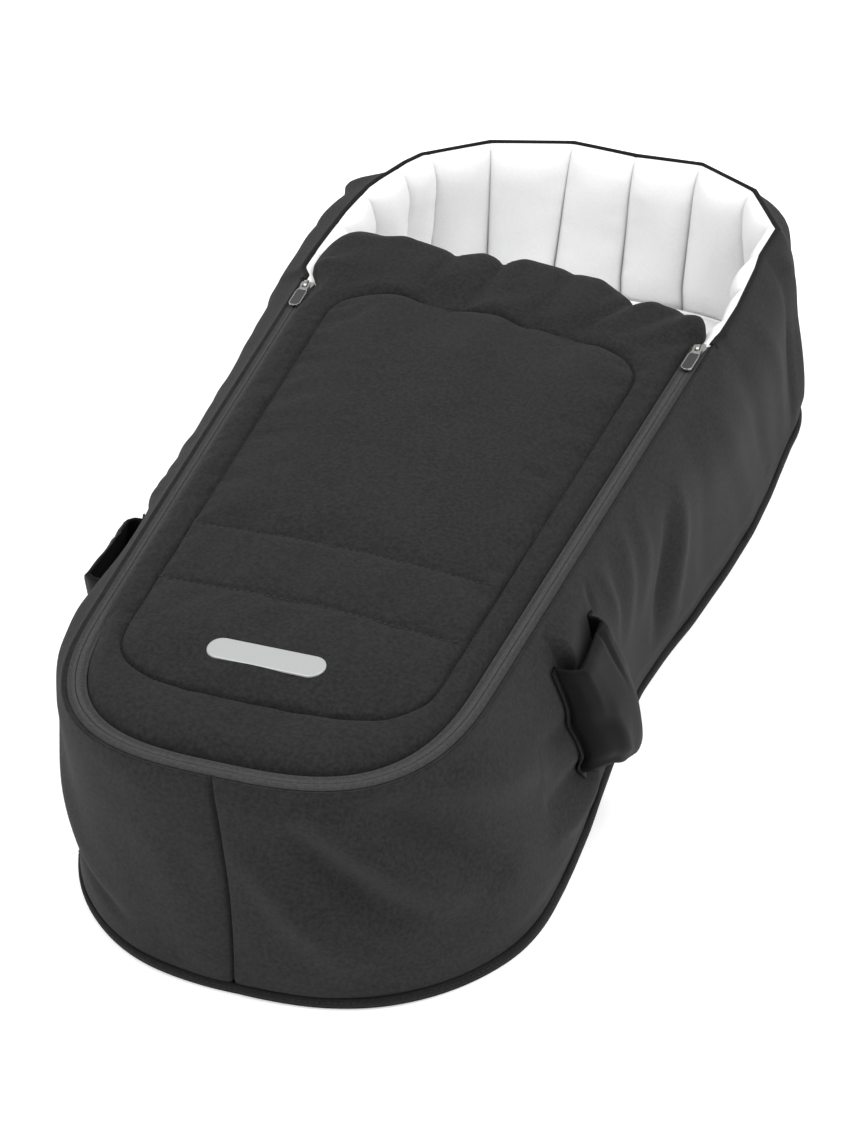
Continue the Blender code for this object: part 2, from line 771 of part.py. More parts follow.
def panel_height(x, y):
    """Top of the raised panel: full between its seams, crowned, and drawn down at the lines of stitching."""
    width = max(PANEL.edge(y), PANEL_EDGE_RUN)
    side = edge_rise(PANEL.edge(y) - abs(x))
    ends = edge_rise(min(y - PANEL.ends[0], PANEL.ends[1] - y))
    height = mix(APRON_SEAM_HEIGHT, PANEL_CREST_HEIGHT, side * ends)
    height += PANEL_CROWN * side * ends * (1 - min(abs(x) / width, 1) ** 2)
    for line in STITCH_LINES:
        height -= STITCH_DEPTH * side * max(0, 1 - abs(y - line) / STITCH_HALF_WIDTH)
    return WALL_HEIGHT + height


def panel_side_places():
    """Y of the panel's rows between its caps: three to each line of stitching, and even ones to the head."""
    places = []
    for line in STITCH_LINES:
        places += [line - STITCH_HALF_WIDTH, line, line + STITCH_HALF_WIDTH]
    head_start = PANEL.ends[1] - PANEL.caps[1]
    head_rows = 4
    last_line_end = places[-1]
    for step in range(1, head_rows):
        places.append(mix(last_line_end, head_start, step / head_rows))
    return places


def make_apron(cloth, wadding, lining, reflective):
    """Padded apron: lining, wadding, a border that turns down at the edge, and a raised panel with a badge."""
    places = panel_side_places()
    panel_points = PANEL.points(places)
    foot_start, head_start = panel_points[FOOT_STEPS][1], PANEL.ends[1] - PANEL.caps[1]
    outer = apron_outline([(y - foot_start) / (head_start - foot_start) for y in places])
    core = offset_points(outer, -APRON_LIP - SEAM_GAP)
    sheet("apron_lining", core, APRON_BOTTOM, LINING_TOP, lining)
    sheet("apron_wadding", core, WADDING_BOTTOM, WADDING_TOP, wadding)
    sheet("apron_panel", panel_points, BORDER_BOTTOM, panel_height, cloth)
    edge = both_sides(outer)
    lip = both_sides(offset_points(outer, -APRON_LIP))
    seam = both_sides(offset_points(panel_points, SEAM_GAP))

    def ring(share, height):
        """Part of the way from the outer edge to the panel's seam."""
        return [(mix(a[0], b[0], share), mix(a[1], b[1], share), height) for a, b in zip(edge, seam)]

    front = [ring(0, APRON_BOTTOM)]
    front.append(ring(0, WALL_HEIGHT + APRON_EDGE_HEIGHT))
    front.append(ring(APRON_SHOULDER_SHARE, WALL_HEIGHT + APRON_SHOULDER_HEIGHT))
    front.append(ring(APRON_CREST_SHARE, WALL_HEIGHT + APRON_CREST_HEIGHT))
    front.append(ring(APRON_INNER_SHARE, WALL_HEIGHT + APRON_SHOULDER_HEIGHT))
    front.append(ring(1, WALL_HEIGHT + APRON_SEAM_HEIGHT))
    back = [[(x, y, APRON_BOTTOM) for x, y in lip], [(x, y, BORDER_BOTTOM) for x, y in lip]]
    for share in (APRON_SHOULDER_SHARE, APRON_CREST_SHARE, APRON_INNER_SHARE, 1):
        back.append(ring(share, BORDER_BOTTOM))
    slab("apron_border", front, back, cloth, wrap=True)
    make_badge(reflective)


def make_badge(reflective):
    """A blank reflective pill that follows the panel's surface."""
    radius = BADGE_WIDTH / 2
    straight = BADGE_LENGTH / 2 - radius
    middle = from_foot(BADGE_FROM_FOOT)
    steps = 4
    layers = []
    for lift in (SEAM_GAP + BADGE_THICKNESS, SEAM_GAP):
        grid = []
        for step in range(-steps, steps + 1):
            turn = math.pi / 2 * step / steps
            y = middle + radius * math.sin(turn)
            end = straight + radius * math.cos(turn)
            columns = range(-ROW_REACH, ROW_REACH + 1)
            row = [(end * column / ROW_REACH, y) for column in columns]
            grid.append([(x, y, panel_height(x, y) + lift) for x, y in row])
        layers.append(grid)
    layered("badge", layers, reflective)


def shell_x(y, z):
    """X of the right shell half's outer face on its straight side."""
    share = height_share(z)
    levels = SIDE_SHARES + [FOAM_TOP, 1]
    above = next(index for index, level in enumerate(levels) if level >= share)
    found = []
    for level in (levels[above - 1], levels[above]):
        ring = wall_ring(level, shell_face)
        step = next(k for k in range(FOOT_STEPS - 2, LAST_STATION) if ring[k + 1][1] >= y)
        first, second = ring[step], ring[step + 1]
        found.append(mix(first[0], second[0], (y - first[1]) / (second[1] - first[1])))
    return mix(*found, (share - levels[above - 1]) / (levels[above] - levels[above - 1]))


def make_sleeves(nylon, binding):
    """Padded nylon loops on the side walls, open at the top and the bottom for the pushchair's frame."""
    inside = [share * WALL_HEIGHT for share in WALL_SHARES if SLEEVE_BOTTOM < share * WALL_HEIGHT < SLEEVE_TOP]
    levels = [SLEEVE_BOTTOM] + inside + [SLEEVE_TOP]
    far = from_foot(SLEEVE_FAR_FROM_FOOT)
    run_share = SLEEVE_SIDE_RUN / (SLEEVE_FAR_FROM_FOOT - SLEEVE_NEAR_FROM_FOOT)
    path_shares = [(0, 0), (0, 0.6), (run_share / 3, 0.9), (run_share, 1), (0.5, 1.03)]
    path_shares += [(1 - along, out) for along, out in path_shares[3::-1]]

    def near(rise):
        """The near edge leans, so that the loop narrows toward its bottom."""
        return from_foot(SLEEVE_NEAR_FROM_FOOT) + SLEEVE_NEAR_LEAN * (1 - rise)

    def rise_of(z):
        return (z - SLEEVE_BOTTOM) / (SLEEVE_TOP - SLEEVE_BOTTOM)

    def pad(side, inset):
        """Rows of the loop's outer face, or of its inner face for an inset of one pad thickness."""
        rows = []
        for along, out in path_shares:
            row = []
            for z in levels:
                rise = rise_of(z)
                reach = mix(SLEEVE_BOTTOM_STANDOFF, SLEEVE_TOP_STANDOFF, rise) + SLEEVE_PAD - inset
                y = mix(near(rise) + inset, far - inset, along)
                row.append((side * (shell_x(y, z) + SLEEVE_WALL_GAP + reach * out), y, z))
            rows.append(row)
        return rows

    def strip(side, end, lift):
        """Rows of a bias strip lying on the shell beside the near edge, or beside the far one."""
        rows = []
        for distance in (SEAM_GAP, SEAM_GAP + SLEEVE_BINDING_WIDTH):
            row = []
            for z in levels:
                y = near(rise_of(z)) - distance if end == "near" else far + distance
                row.append((side * (shell_x(y, z) + SLEEVE_WALL_GAP + lift), y, z))
            rows.append(row)
        return rows

    for hand, side in (("right", 1), ("left", -1)):
        slab(f"sleeve_pad_{hand}", pad(side, 0), pad(side, SLEEVE_PAD), nylon)
        for end in ("near", "far"):
            name = f"sleeve_binding_{end}_{hand}"
            slab(name, strip(side, end, SLEEVE_BINDING_CLOTH), strip(side, end, 0), binding)


def box(bm, size, centre):
    """Adds a box to a bmesh."""
    corners = bmesh.ops.create_cube(bm, size=1)["verts"]
    for corner in corners:
        corner.co = Vector(a * b for a, b in zip(corner.co, size)) + Vector(centre)
    return corners


def combine(piece, label, bm, operation):
    """Joins a shape to a piece, or cuts it out. The shape itself stays hidden."""
    name = f"{piece.name}_{label}"
    helper = bpy.data.objects.new(name, mesh_of(name, bm))
    bpy.context.scene.collection.objects.link(helper)
    helper.hide_render = True
    helper.display_type = "WIRE"
    helper.parent = piece
    modifier = piece.modifiers.new(label, "BOOLEAN")
    modifier.operation = operation
    modifier.solver = "EXACT"
    modifier.object = helper


def slider_plate(z):
    """A bmesh of one plate of a slider, narrower at its nose."""
    bm = bmesh.new()
    for corner in box(bm, (SLIDER_WIDTH, SLIDER_LENGTH, SLIDER_PLATE), (0, 0, z)):
        if corner.co.y < 0:
            corner.co.x *= SLIDER_NOSE_WIDTH / SLIDER_WIDTH
    return bm


def make_slider(hand, side, metal):
    """Die-cast slider: two plates joined by a thin post at the mouth, with a bridge for the pull tab."""
    ring = offset_points(TOP_POINTS, -TAPE_WIDTH - CHAIN_SLOT / 2)
    here = Vector(at_station(ring, SLIDER_STATION))
    toward_head = Vector(at_station(ring, SLIDER_STATION + 0.5)) - here
    bottom_z = COIL_BOTTOM - SEAM_GAP - SLIDER_PLATE / 2
    top_z = TAPE_TOP + SEAM_GAP + SLIDER_PLATE / 2
    origin_z = (bottom_z + top_z) / 2
    half_rise = (top_z - bottom_z) / 2
    slider = solid(f"slider_{hand}", slider_plate(half_rise), metal)
    slider.location = (side * here.x, here.y, origin_z)
    slider.rotation_euler.z = side * math.atan2(-toward_head.x, toward_head.y)
    post = bmesh.new()
    post_y = (SLIDER_LENGTH - SLIDER_POST_LENGTH) / 2 - SLIDER_PLATE
    box(post, (SLIDER_POST_WIDTH, SLIDER_POST_LENGTH, 2 * half_rise), (0, post_y, 0))
    bridge = bmesh.new()
    bridge_height = BRIDGE_HOLE_HEIGHT + BRIDGE_THICKNESS + SLIDER_PLATE / 2
    bridge_middle = half_rise + bridge_height / 2
    for corner in box(bridge, (BRIDGE_WIDTH, BRIDGE_LENGTH, bridge_height), (0, 0, bridge_middle)):
        if corner.co.z > bridge_middle:
            corner.co.y *= (BRIDGE_LENGTH - BRIDGE_THICKNESS) / BRIDGE_LENGTH
    hole = bmesh.new()
    hole_middle = half_rise + SLIDER_PLATE / 2 + BRIDGE_HOLE_HEIGHT / 2
    box(hole, (2 * BRIDGE_WIDTH, BRIDGE_HOLE_LENGTH, BRIDGE_HOLE_HEIGHT), (0, 0, hole_middle))
    combine(slider, "lower_plate", slider_plate(-half_rise), "UNION")
    combine(slider, "post", post, "UNION")
    combine(slider, "bridge", bridge, "UNION")
    combine(slider, "bridge_hole", hole, "DIFFERENCE")
    return slider, origin_z + hole_middle


def tab_outline(inset):
    """Plan of the pull tab from its eye to its round end, which points to -Y."""
    half_eye = TAB_NECK_WIDTH / 2 - inset
    half_wide = TAB_WIDTH / 2 - inset
    eye_end = TAB_EYE_LENGTH + TAB_RIM
    round_start = TAB_LENGTH - TAB_WIDTH / 2
    points = [(half_eye, TAB_RIM - inset), (half_eye, -eye_end), (half_wide, -TAB_RECESS_START)]
    steps = 8
    for step in range(steps + 1):
        turn = math.pi * step / steps
        points.append((half_wide * math.cos(turn), -round_start - half_wide * math.sin(turn)))
    points += [(-half_wide, -TAB_RECESS_START), (-half_eye, -eye_end), (-half_eye, TAB_RIM - inset)]
    return points


def prism(points, bottom, top):
    """A bmesh of an outline raised between two heights."""
    bm = bmesh.new()
    lower = [bm.verts.new((x, y, bottom)) for x, y in points]
    upper = [bm.verts.new((x, y, top)) for x, y in points]
    bm.faces.new(lower[::-1])
    bm.faces.new(upper)
    for index in range(len(points)):
        beside = (index + 1) % len(points)
        bm.faces.new((lower[index], lower[beside], upper[beside], upper[index]))
    return bm


def make_tab(hand, slider, axis_z, metal):
    """Metal pull tab with a dark sunk face. Its eye turns round the slider's bridge."""
    half = TAB_THICKNESS / 2
    tab = solid(f"pull_tab_{hand}", prism(tab_outline(0), -half, half), metal)
    tab.location = (slider.location.x, slider.location.y, axis_z)
    tab.rotation_euler.z = slider.rotation_euler.z
    eye = bmesh.new()
    eye_middle = -(TAB_RIM + TAB_EYE_LENGTH) / 2
    box(eye, (TAB_EYE_WIDTH, TAB_EYE_LENGTH, 2 * TAB_THICKNESS), (0, eye_middle, 0))
    combine(tab, "eye", eye, "DIFFERENCE")
    sunk = [(x, y) for x, y in tab_outline(TAB_RIM) if y < -TAB_EYE_LENGTH - 2 * TAB_RIM]
    combine(tab, "recess", prism(sunk, half - TAB_RECESS, half + TAB_RECESS), "DIFFERENCE")


def make_stop(hand, side, metal):
    """Metal stop clamped on the body tape, just behind the parked slider."""
    ring = offset_points(TOP_POINTS, -TAPE_WIDTH + STOP_WIDTH / 2)
    station = step_past(SLIDER_STATION, SLIDER_LENGTH / 2 + SEAM_GAP + STOP_LENGTH / 2)
    here = Vector(at_station(ring, station))
    toward_head = Vector(at_station(ring, station + 0.1)) - here
    bm = bmesh.new()
    box(bm, (STOP_WIDTH, STOP_LENGTH, STOP_THICKNESS), (0, 0, 0))
    stop = solid(f"zip_stop_{hand}", bm, metal)
    stop.location = (side * here.x, here.y, TAPE_TOP + SEAM_GAP + STOP_THICKNESS / 2)
    stop.rotation_euler.z = side * math.atan2(-toward_head.x, toward_head.y)


def main():
    for old in list(bpy.data.objects):
        bpy.data.objects.remove(old)
    charcoal = make_material("charcoal cloth", (0.042, 0.042, 0.043), 0.95)
    dark_cloth = make_material("dark base cloth", (0.017, 0.017, 0.018), 0.9)
    white_cloth = make_material("white cotton", (0.86, 0.86, 0.87), 0.95)
    nylon = make_material("black nylon", (0.016, 0.016, 0.017), 0.5)
    tape = make_material("zip tape", (0.075, 0.075, 0.077), 0.8)
    coil = make_material("zip coil", (0.05, 0.05, 0.05), 0.5)
    foam = make_material("grey foam", (0.45, 0.45, 0.46), 0.95)
    board = make_material("board", (0.06, 0.06, 0.065), 0.6)
    wadding = make_material("wadding", (0.8, 0.8, 0.8), 0.95)
    nickel = make_material("nickel", (0.72, 0.71, 0.69), 0.25, 1)
    silver = make_material("reflective badge", (0.55, 0.56, 0.56), 0.45)
    make_base(dark_cloth, board, white_cloth)
    make_walls(charcoal, foam, white_cloth)
    make_head_liner(white_cloth)
    make_rim_binding(dark_cloth)
    make_mattress(white_cloth, foam)
    make_zip(tape, coil)
    make_apron(charcoal, wadding, white_cloth, silver)
    make_sleeves(nylon, dark_cloth)
    for hand, side in (("right", 1), ("left", -1)):
        slider, axis_z = make_slider(hand, side, nickel)
        make_tab(hand, slider, axis_z, nickel)
        make_stop(hand, side, nickel)


main()
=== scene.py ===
import math

import bmesh
import bpy
import numpy as np
from mathutils import Matrix, Vector, noise
from mathutils.bvhtree import BVHTree
from mathutils.geometry import delaunay_2d_cdt


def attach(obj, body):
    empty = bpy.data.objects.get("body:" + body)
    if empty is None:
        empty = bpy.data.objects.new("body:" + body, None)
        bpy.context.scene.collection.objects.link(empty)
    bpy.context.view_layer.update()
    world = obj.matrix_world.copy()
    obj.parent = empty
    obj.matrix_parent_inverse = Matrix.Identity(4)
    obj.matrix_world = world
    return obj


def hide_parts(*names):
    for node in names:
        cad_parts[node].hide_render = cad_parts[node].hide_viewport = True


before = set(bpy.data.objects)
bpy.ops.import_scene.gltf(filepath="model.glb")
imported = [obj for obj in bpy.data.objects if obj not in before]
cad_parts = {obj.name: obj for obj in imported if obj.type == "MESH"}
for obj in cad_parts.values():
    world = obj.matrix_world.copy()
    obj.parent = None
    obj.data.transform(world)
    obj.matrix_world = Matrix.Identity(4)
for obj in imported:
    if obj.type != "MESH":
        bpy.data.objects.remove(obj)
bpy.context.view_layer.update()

# Studio: a pale floor that glows a little, as on a lit white table, under a white room, with a broad
# soft light on each side, high up. The camera looks down on the foot end from its right.
FLOOR_HALF_WIDTH = 9.0
FLOOR_WHITE = 0.93
FLOOR_SPECKLE = 0.005
FLOOR_GLOW = 0.30
ROOM_LIGHT = 0.83
CAMERA_PLACE = Vector((0.4599, -1.4044, 1.0709))
CAMERA_FORWARD = Vector((-0.2605, 0.7766, -0.5735)).normalized()
CAMERA_ROLL = -0.003
CAMERA_LENS = 85.38
SOFT_LIGHTS = (
    ("light_left", (-1.0, -1.2, 2.4), 1.6, 28.0),
    ("light_right", (1.3, -0.2, 2.4), 1.6, 34.0),
)


def add_node(tree, kind, inputs=(), **settings):
    """Adds a node to a material or a modifier's tree, and wires or sets its inputs."""
    made = tree.nodes.new(kind)
    for key, value in settings.items():
        setattr(made, key, value)
    for key, value in dict(inputs).items():
        if isinstance(value, bpy.types.NodeSocket):
            tree.links.new(value, made.inputs[key])
        else:
            made.inputs[key].default_value = value
    return made


def new_finish(name, colour, roughness, **shader_values):
    """A material with these values on its shader's own sockets. Returns it with its tree and shader."""
    finish = bpy.data.materials.new(name)
    finish.use_nodes = True
    tree = finish.node_tree
    shader = tree.nodes["Principled BSDF"]
    shader.inputs["Base Color"].default_value = (*colour, 1)
    shader.inputs["Roughness"].default_value = roughness
    for key, value in shader_values.items():
        shader.inputs[key.replace("_", " ")].default_value = value
    return finish, tree, shader


def grain(tree, scale, detail=2.0, roughness=0.5):
    """A fine or broad noise that stays fixed on the piece."""
    place = add_node(tree, "ShaderNodeTexCoord")
    made = add_node(tree, "ShaderNodeTexNoise", {
        "Vector": place.outputs["Object"], "Scale": scale, "Detail": detail, "Roughness": roughness})
    return made.outputs["Fac"]


def grained(name, colour, scale, depth, roughness=0.7, detail=2.0, **shader_values):
    """A material with a fine grain that stands out by this depth."""
    finish, tree, shader = new_finish(name, colour, roughness, **shader_values)
    bump = add_node(tree, "ShaderNodeBump", {"Height": grain(tree, scale, detail), "Distance": depth})
    tree.links.new(bump.outputs["Normal"], shader.inputs["Normal"])
    return finish


def polished(name, colour, roughness, scale, span, detail=2.0, **shader_values):
    """A material with a shine that varies a little, between the two values of its span."""
    finish, tree, shader = new_finish(name, colour, roughness, **shader_values)
    rough = add_node(tree, "ShaderNodeMapRange", {
        "Value": grain(tree, scale, detail), "To Min": span[0], "To Max": span[1]})
    tree.links.new(rough.outputs["Result"], shader.inputs["Roughness"])
    return finish


floor_mesh = bpy.data.meshes.new("floor")
floor_corners = [(x * FLOOR_HALF_WIDTH, y * FLOOR_HALF_WIDTH, 0)
                 for x, y in ((-1, -1), (1, -1), (1, 1), (-1, 1))]
floor_mesh.from_pydata(floor_corners, [], [(0, 1, 2, 3)])
floor = bpy.data.objects.new("floor", floor_mesh)
bpy.context.scene.collection.objects.link(floor)
paper, paper_tree, paper_shader = new_finish("pale floor", (FLOOR_WHITE,) * 3, 0.9)
paper_tone = add_node(paper_tree, "ShaderNodeMix", {
    "Factor": grain(paper_tree, 60.0, 3.0), "A": (*(FLOOR_WHITE - FLOOR_SPECKLE,) * 3, 1),
    "B": (*(FLOOR_WHITE + FLOOR_SPECKLE,) * 3, 1)}, data_type="RGBA")
paper_tree.links.new(paper_tone.outputs["Result"], paper_shader.inputs["Base Color"])
paper_shader.inputs["Emission Color"].default_value = (1, 1, 1, 1)
paper_shader.inputs["Emission Strength"].default_value = FLOOR_GLOW
floor_mesh.materials.append(paper)

room = bpy.data.worlds.new("room")
room.use_nodes = True
room.node_tree.nodes["Background"].inputs["Color"].default_value = (1, 1, 1, 1)
room.node_tree.nodes["Background"].inputs["Strength"].default_value = ROOM_LIGHT
bpy.context.scene.world = room
for light_name, place, width, power in SOFT_LIGHTS:
    lamp = bpy.data.lights.new(light_name, "AREA")
    lamp.shape = "DISK"
    lamp.size = width
    lamp.energy = power
    holder = bpy.data.objects.new(light_name, lamp)
    holder.location = place
    holder.rotation_euler = Vector(place).to_track_quat("Z", "Y").to_euler()
    bpy.context.scene.collection.objects.link(holder)
bpy.context.scene.view_settings.view_transform = "Standard"

camera_data = bpy.data.cameras.new("camera")
camera_data.lens = CAMERA_LENS
camera_data.sensor_width = 36.0
camera_data.clip_end = 50.0
camera = bpy.data.objects.new("camera", camera_data)
side_way = CAMERA_FORWARD.cross(Vector((0, 0, 1))).normalized()
up_way = side_way.cross(CAMERA_FORWARD)
right_way = side_way * math.cos(CAMERA_ROLL) + up_way * math.sin(CAMERA_ROLL)
top_way = up_way * math.cos(CAMERA_ROLL) - side_way * math.sin(CAMERA_ROLL)
camera.matrix_world = Matrix.Translation(CAMERA_PLACE) @ Matrix(
    (right_way, top_way, -CAMERA_FORWARD)).transposed().to_4x4()
bpy.context.scene.collection.objects.link(camera)
bpy.context.scene.camera = camera

# Base: a stiff board between a dark bottom cloth and the liner. The bottom cloth is sewn to a dark
# strip that turns up round the whole foot of the wall, with one line of small stitches.
MM = 0.001
HALF_LENGTH = 0.3945
WALL_HEIGHT = 0.168
THREAD = 0.00045
MOTTLE = 0.25
CAP_STATIONS = 9
SIDE_STATIONS = 6
LAST_STATION = 2 * CAP_STATIONS + SIDE_STATIONS
# Each outline: half widths at the foot and the head, ends, lengths of the two caps, their powers, and waist
BASE_SHAPE = ((0.145, 0.171), (-0.3825, 0.3855), (0.152, 0.112), (2.41, 3.0), 0.006)
TOP_SHAPE = ((0.121, 0.150), (-0.3945, 0.3855), (0.123, 0.160), (2.94, 3.03), 0.0)
WAIST_Y = -0.0095
WAIST_SPAN = 0.130
RING_STEP = 0.0024
BASE_LEAN = 0.001
# In millimetres: how far the base stands out from its even outline, by distance round the seam from the
# foot's middle
BASE_FULLNESS = MM * np.array((
    (-966, 0), (-90, 0), (-60, -0.5), (-40, -1.8), (0, -2.8), (30, -2.5), (60, -1), (90, 1.8), (120, 5.8),
    (140, 8.4), (160, 8), (180, 6.5), (210, 5.7), (250, 3.2), (285, -0.8), (310, -3), (360, -4.4),
    (390, -4.2), (410, -1.8), (440, 0.6), (470, 3.3), (510, 3.9), (540, 5.2), (590, 7.4), (640, 6.4),
    (670, 4.5), (710, 2.4), (750, 3.2), (780, 3.5), (820, 2), (860, 0), (966, 0),
))
# Places of the points beside the foot's and the head's seams
SEAM_STEPS = (0.0, 0.0004, 0.0009, 0.0015, 0.0023, 0.0034, 0.0049, 0.0067, 0.0089)
STRIP_TOP = 0.0084
STRIP_SWELL = 0.0012
STRIP_CLOTH = 0.0015
STRIP_HEM = 0.0022
BOTTOM_CLOTH = 0.0012


def ease(share):
    share = np.clip(share, 0, 1)
    return share * share * (3 - 2 * share)


def mix(first, second, share):
    return first + (second - first) * share


def bell(distance, width):
    """1 at no distance, and nearly 0 past twice the width."""
    return np.exp(-(distance / width) ** 2)


def keep_sign(value, power):
    """The value raised to a power without its sign, which it then gets back."""
    return math.copysign(abs(value) ** power, value)


def lengths_along(line):
    """How far along a line each of its points lies."""
    return np.concatenate([[0], np.cumsum(np.linalg.norm(np.diff(line, axis=0), axis=1))])


def soft_noise(*axes):
    """A smooth wavering between about -1 and 1 at each place."""
    spots = np.broadcast_arrays(*axes)
    found = [noise.noise(Vector(spot)) for spot in zip(*map(np.ravel, spots))]
    return np.array(found).reshape(spots[0].shape)


def half_outline(stations, half_widths, ends, caps, powers, waist):
    """The right half of an outline, from the foot's middle to the head's: a cap, a tapering side, a cap."""
    start, stop = ends[0] + caps[0], ends[1] - caps[1]
    foot_turn = np.pi / 2 * np.clip(stations / CAP_STATIONS, 0, 1)
    head_turn = np.pi / 2 * np.clip((LAST_STATION - stations) / CAP_STATIONS, 0, 1)
    y = mix(start, stop, np.clip((stations - CAP_STATIONS) / SIDE_STATIONS, 0, 1))
    foot_y = ends[0] + caps[0] * (1 - np.abs(np.cos(foot_turn)) ** (2 / powers[0]))
    head_y = ends[1] - caps[1] * (1 - np.abs(np.cos(head_turn)) ** (2 / powers[1]))
    y = np.where(stations < CAP_STATIONS, foot_y, y)
    y = np.where(stations > LAST_STATION - CAP_STATIONS, head_y, y)
    width = mix(half_widths[0], half_widths[1], (y - start) / (stop - start))
    width = width - waist * ease(1 - np.abs((y - WAIST_Y) / WAIST_SPAN))
    x = width * np.sin(foot_turn) ** (2 / powers[0]) * np.sin(head_turn) ** (2 / powers[1])
    return np.stack([x, y], axis=1)


def both_halves(right):
    """The whole ring, from the foot's middle round by the right, the head and the left."""
    left = right[-2:0:-1] * (-1, 1)
    return np.concatenate([right, left])


dense_stations = np.linspace(0, LAST_STATION, 24001)
dense_top = half_outline(dense_stations, *TOP_SHAPE)
dense_lengths = lengths_along(dense_top)
HALF_SEAM = dense_lengths[-1]
even_count = int((HALF_SEAM - 2 * SEAM_STEPS[-1]) / RING_STEP)
even_part = np.linspace(SEAM_STEPS[-1], HALF_SEAM - SEAM_STEPS[-1], even_count + 1)
HALF_LENGTHS = np.concatenate([SEAM_STEPS[:-1], even_part, HALF_SEAM - np.array(SEAM_STEPS[-2::-1])])
ring_stations = np.interp(HALF_LENGTHS, dense_lengths, dense_stations)
TOP_RING = both_halves(half_outline(ring_stations, *TOP_SHAPE))
BASE_RING = both_halves(half_outline(ring_stations, *BASE_SHAPE))
HEAD_INDEX = len(HALF_LENGTHS) - 1
RING_COUNT = len(TOP_RING)
ALONG = np.concatenate([HALF_LENGTHS, -HALF_LENGTHS[-2:0:-1]])
FROM_HEAD = np.sign(ALONG + 1e-9) * (HALF_SEAM - np.abs(ALONG))


def outward(ring):
    """The level direction away from the middle, at each point of a closed ring."""
    along = np.roll(ring, -1, axis=0) - np.roll(ring, 1, axis=0)
    across = np.stack([along[:, 1], -along[:, 0]], axis=1)
    return across / np.linalg.norm(across, axis=1)[:, None]


base_push = np.interp(ALONG, *BASE_FULLNESS.T)
for _ in range(12):
    base_push = (np.roll(base_push, 1) + 2 * base_push + np.roll(base_push, -1)) / 4
BASE_RING = BASE_RING + (BASE_LEAN, 0) + outward(BASE_RING) * base_push[:, None]


def wall_ring(height, offset=0.0):
    """Points round the wall at one height, moved outward from the straight line between its outlines."""
    ring = mix(BASE_RING, TOP_RING, height / WALL_HEIGHT)
    moved = ring + outward(ring) * np.broadcast_to(offset, RING_COUNT)[:, None]
    return np.column_stack([moved, np.full(RING_COUNT, height)])


def show(name, points, faces, finish, uv=None, sharp=None):
    """A smooth-shaded piece. UV holds one pair in metres for each point."""
    mesh = bpy.data.meshes.new(name)
    mesh.from_pydata([tuple(map(float, p)) for p in points], [], [tuple(map(int, f)) for f in faces])
    if uv is not None:
        layer = mesh.uv_layers.new(name="cloth")
        corners = np.zeros(len(mesh.loops), np.int32)
        mesh.loops.foreach_get("vertex_index", corners)
        layer.data.foreach_set("uv", np.asarray(uv, np.float32)[corners].ravel())
    mesh.materials.append(finish)
    mesh.shade_smooth()
    if sharp:
        mesh.set_sharp_from_angle(angle=math.radians(sharp))
    piece = bpy.data.objects.new(name, mesh)
    bpy.context.scene.collection.objects.link(piece)
    return piece


def point_out(piece):
    """Turns a closed piece's faces outward."""
    bm = bmesh.new()
    bm.from_mesh(piece.data)
    bmesh.ops.remove_doubles(bm, verts=bm.verts, dist=0.00002)
    bmesh.ops.recalc_face_normals(bm, faces=bm.faces)
    bm.to_mesh(piece.data)
    bm.free()


def faces_between(low, high, here, beside):
    """Four-sided faces between two rows of point numbers."""
    return np.stack([low[here], low[beside], high[beside], high[here]], 1)


def ring_faces(index):
    """Faces of a grid of point numbers whose last column joins its first."""
    here = np.arange(index.shape[1])
    beside = np.roll(here, -1)
    return [faces_between(low, high, here, beside) for low, high in zip(index, index[1:])]


def layered_piece(name, front, back, finish, wrap=False, uv=None):
    """A closed piece between two grids of points, row by row. Wrap joins the last column to the first."""
    rows, columns = front.shape[:2]
    index = np.arange(rows * columns).reshape(rows, columns)
    under = index + rows * columns
    here = np.arange(columns if wrap else columns - 1)
    beside = (here + 1) % columns
    faces = []
    for row in range(rows - 1):
        faces.append(faces_between(index[row], index[row + 1], here, beside))
        faces.append(faces_between(under[row + 1], under[row], here, beside))
    faces.append(faces_between(index[0], under[0], here, beside)[:, ::-1])
    faces.append(faces_between(index[-1], under[-1], here, beside))
    if not wrap:
        down = np.arange(rows - 1)
        faces.append(faces_between(index[:, 0], under[:, 0], down, down + 1))
        faces.append(faces_between(index[:, -1], under[:, -1], down, down + 1)[:, ::-1])
    points = np.concatenate([front.reshape(-1, 3), back.reshape(-1, 3)])
    both = None if uv is None else np.concatenate([uv.reshape(-1, 2)] * 2)
    piece = show(name, points, np.concatenate(faces), finish, both)
    point_out(piece)
    return piece


def ring_uv(rows, heights):
    """Cloth coordinates for rows of a ring: along the seam, and up the wall."""
    return np.stack([np.broadcast_to(ALONG, (rows, RING_COUNT)),
                     np.broadcast_to(np.asarray(heights)[:, None], (rows, RING_COUNT))], axis=2)


def filled_piece(name, ring, spine_reach, profile, finish, crown=None):
    """A closed piece inside a ring, from rows of (share toward the middle line, height, swell)."""
    low, high = ring[:, 1].min() + spine_reach[0], ring[:, 1].max() - spine_reach[1]
    across = (ring + ring[-np.arange(len(ring)) % len(ring)]) / 2
    spine = np.stack([across[:, 0], np.clip(across[:, 1], low, high)], axis=1)
    rows = []
    for share, height, swell in profile:
        flat = mix(ring[:, :2] + outward(ring[:, :2]) * swell, spine, share)
        z = np.full(len(ring), height)
        if crown is not None:
            z = z + crown(flat, share, height)
        rows.append(np.column_stack([flat, z]))
    points = np.concatenate(rows)
    faces = ring_faces(np.arange(len(points)).reshape(len(rows), -1))
    piece = show(name, points, np.concatenate(faces), finish, points[:, :2])
    point_out(piece)
    return piece


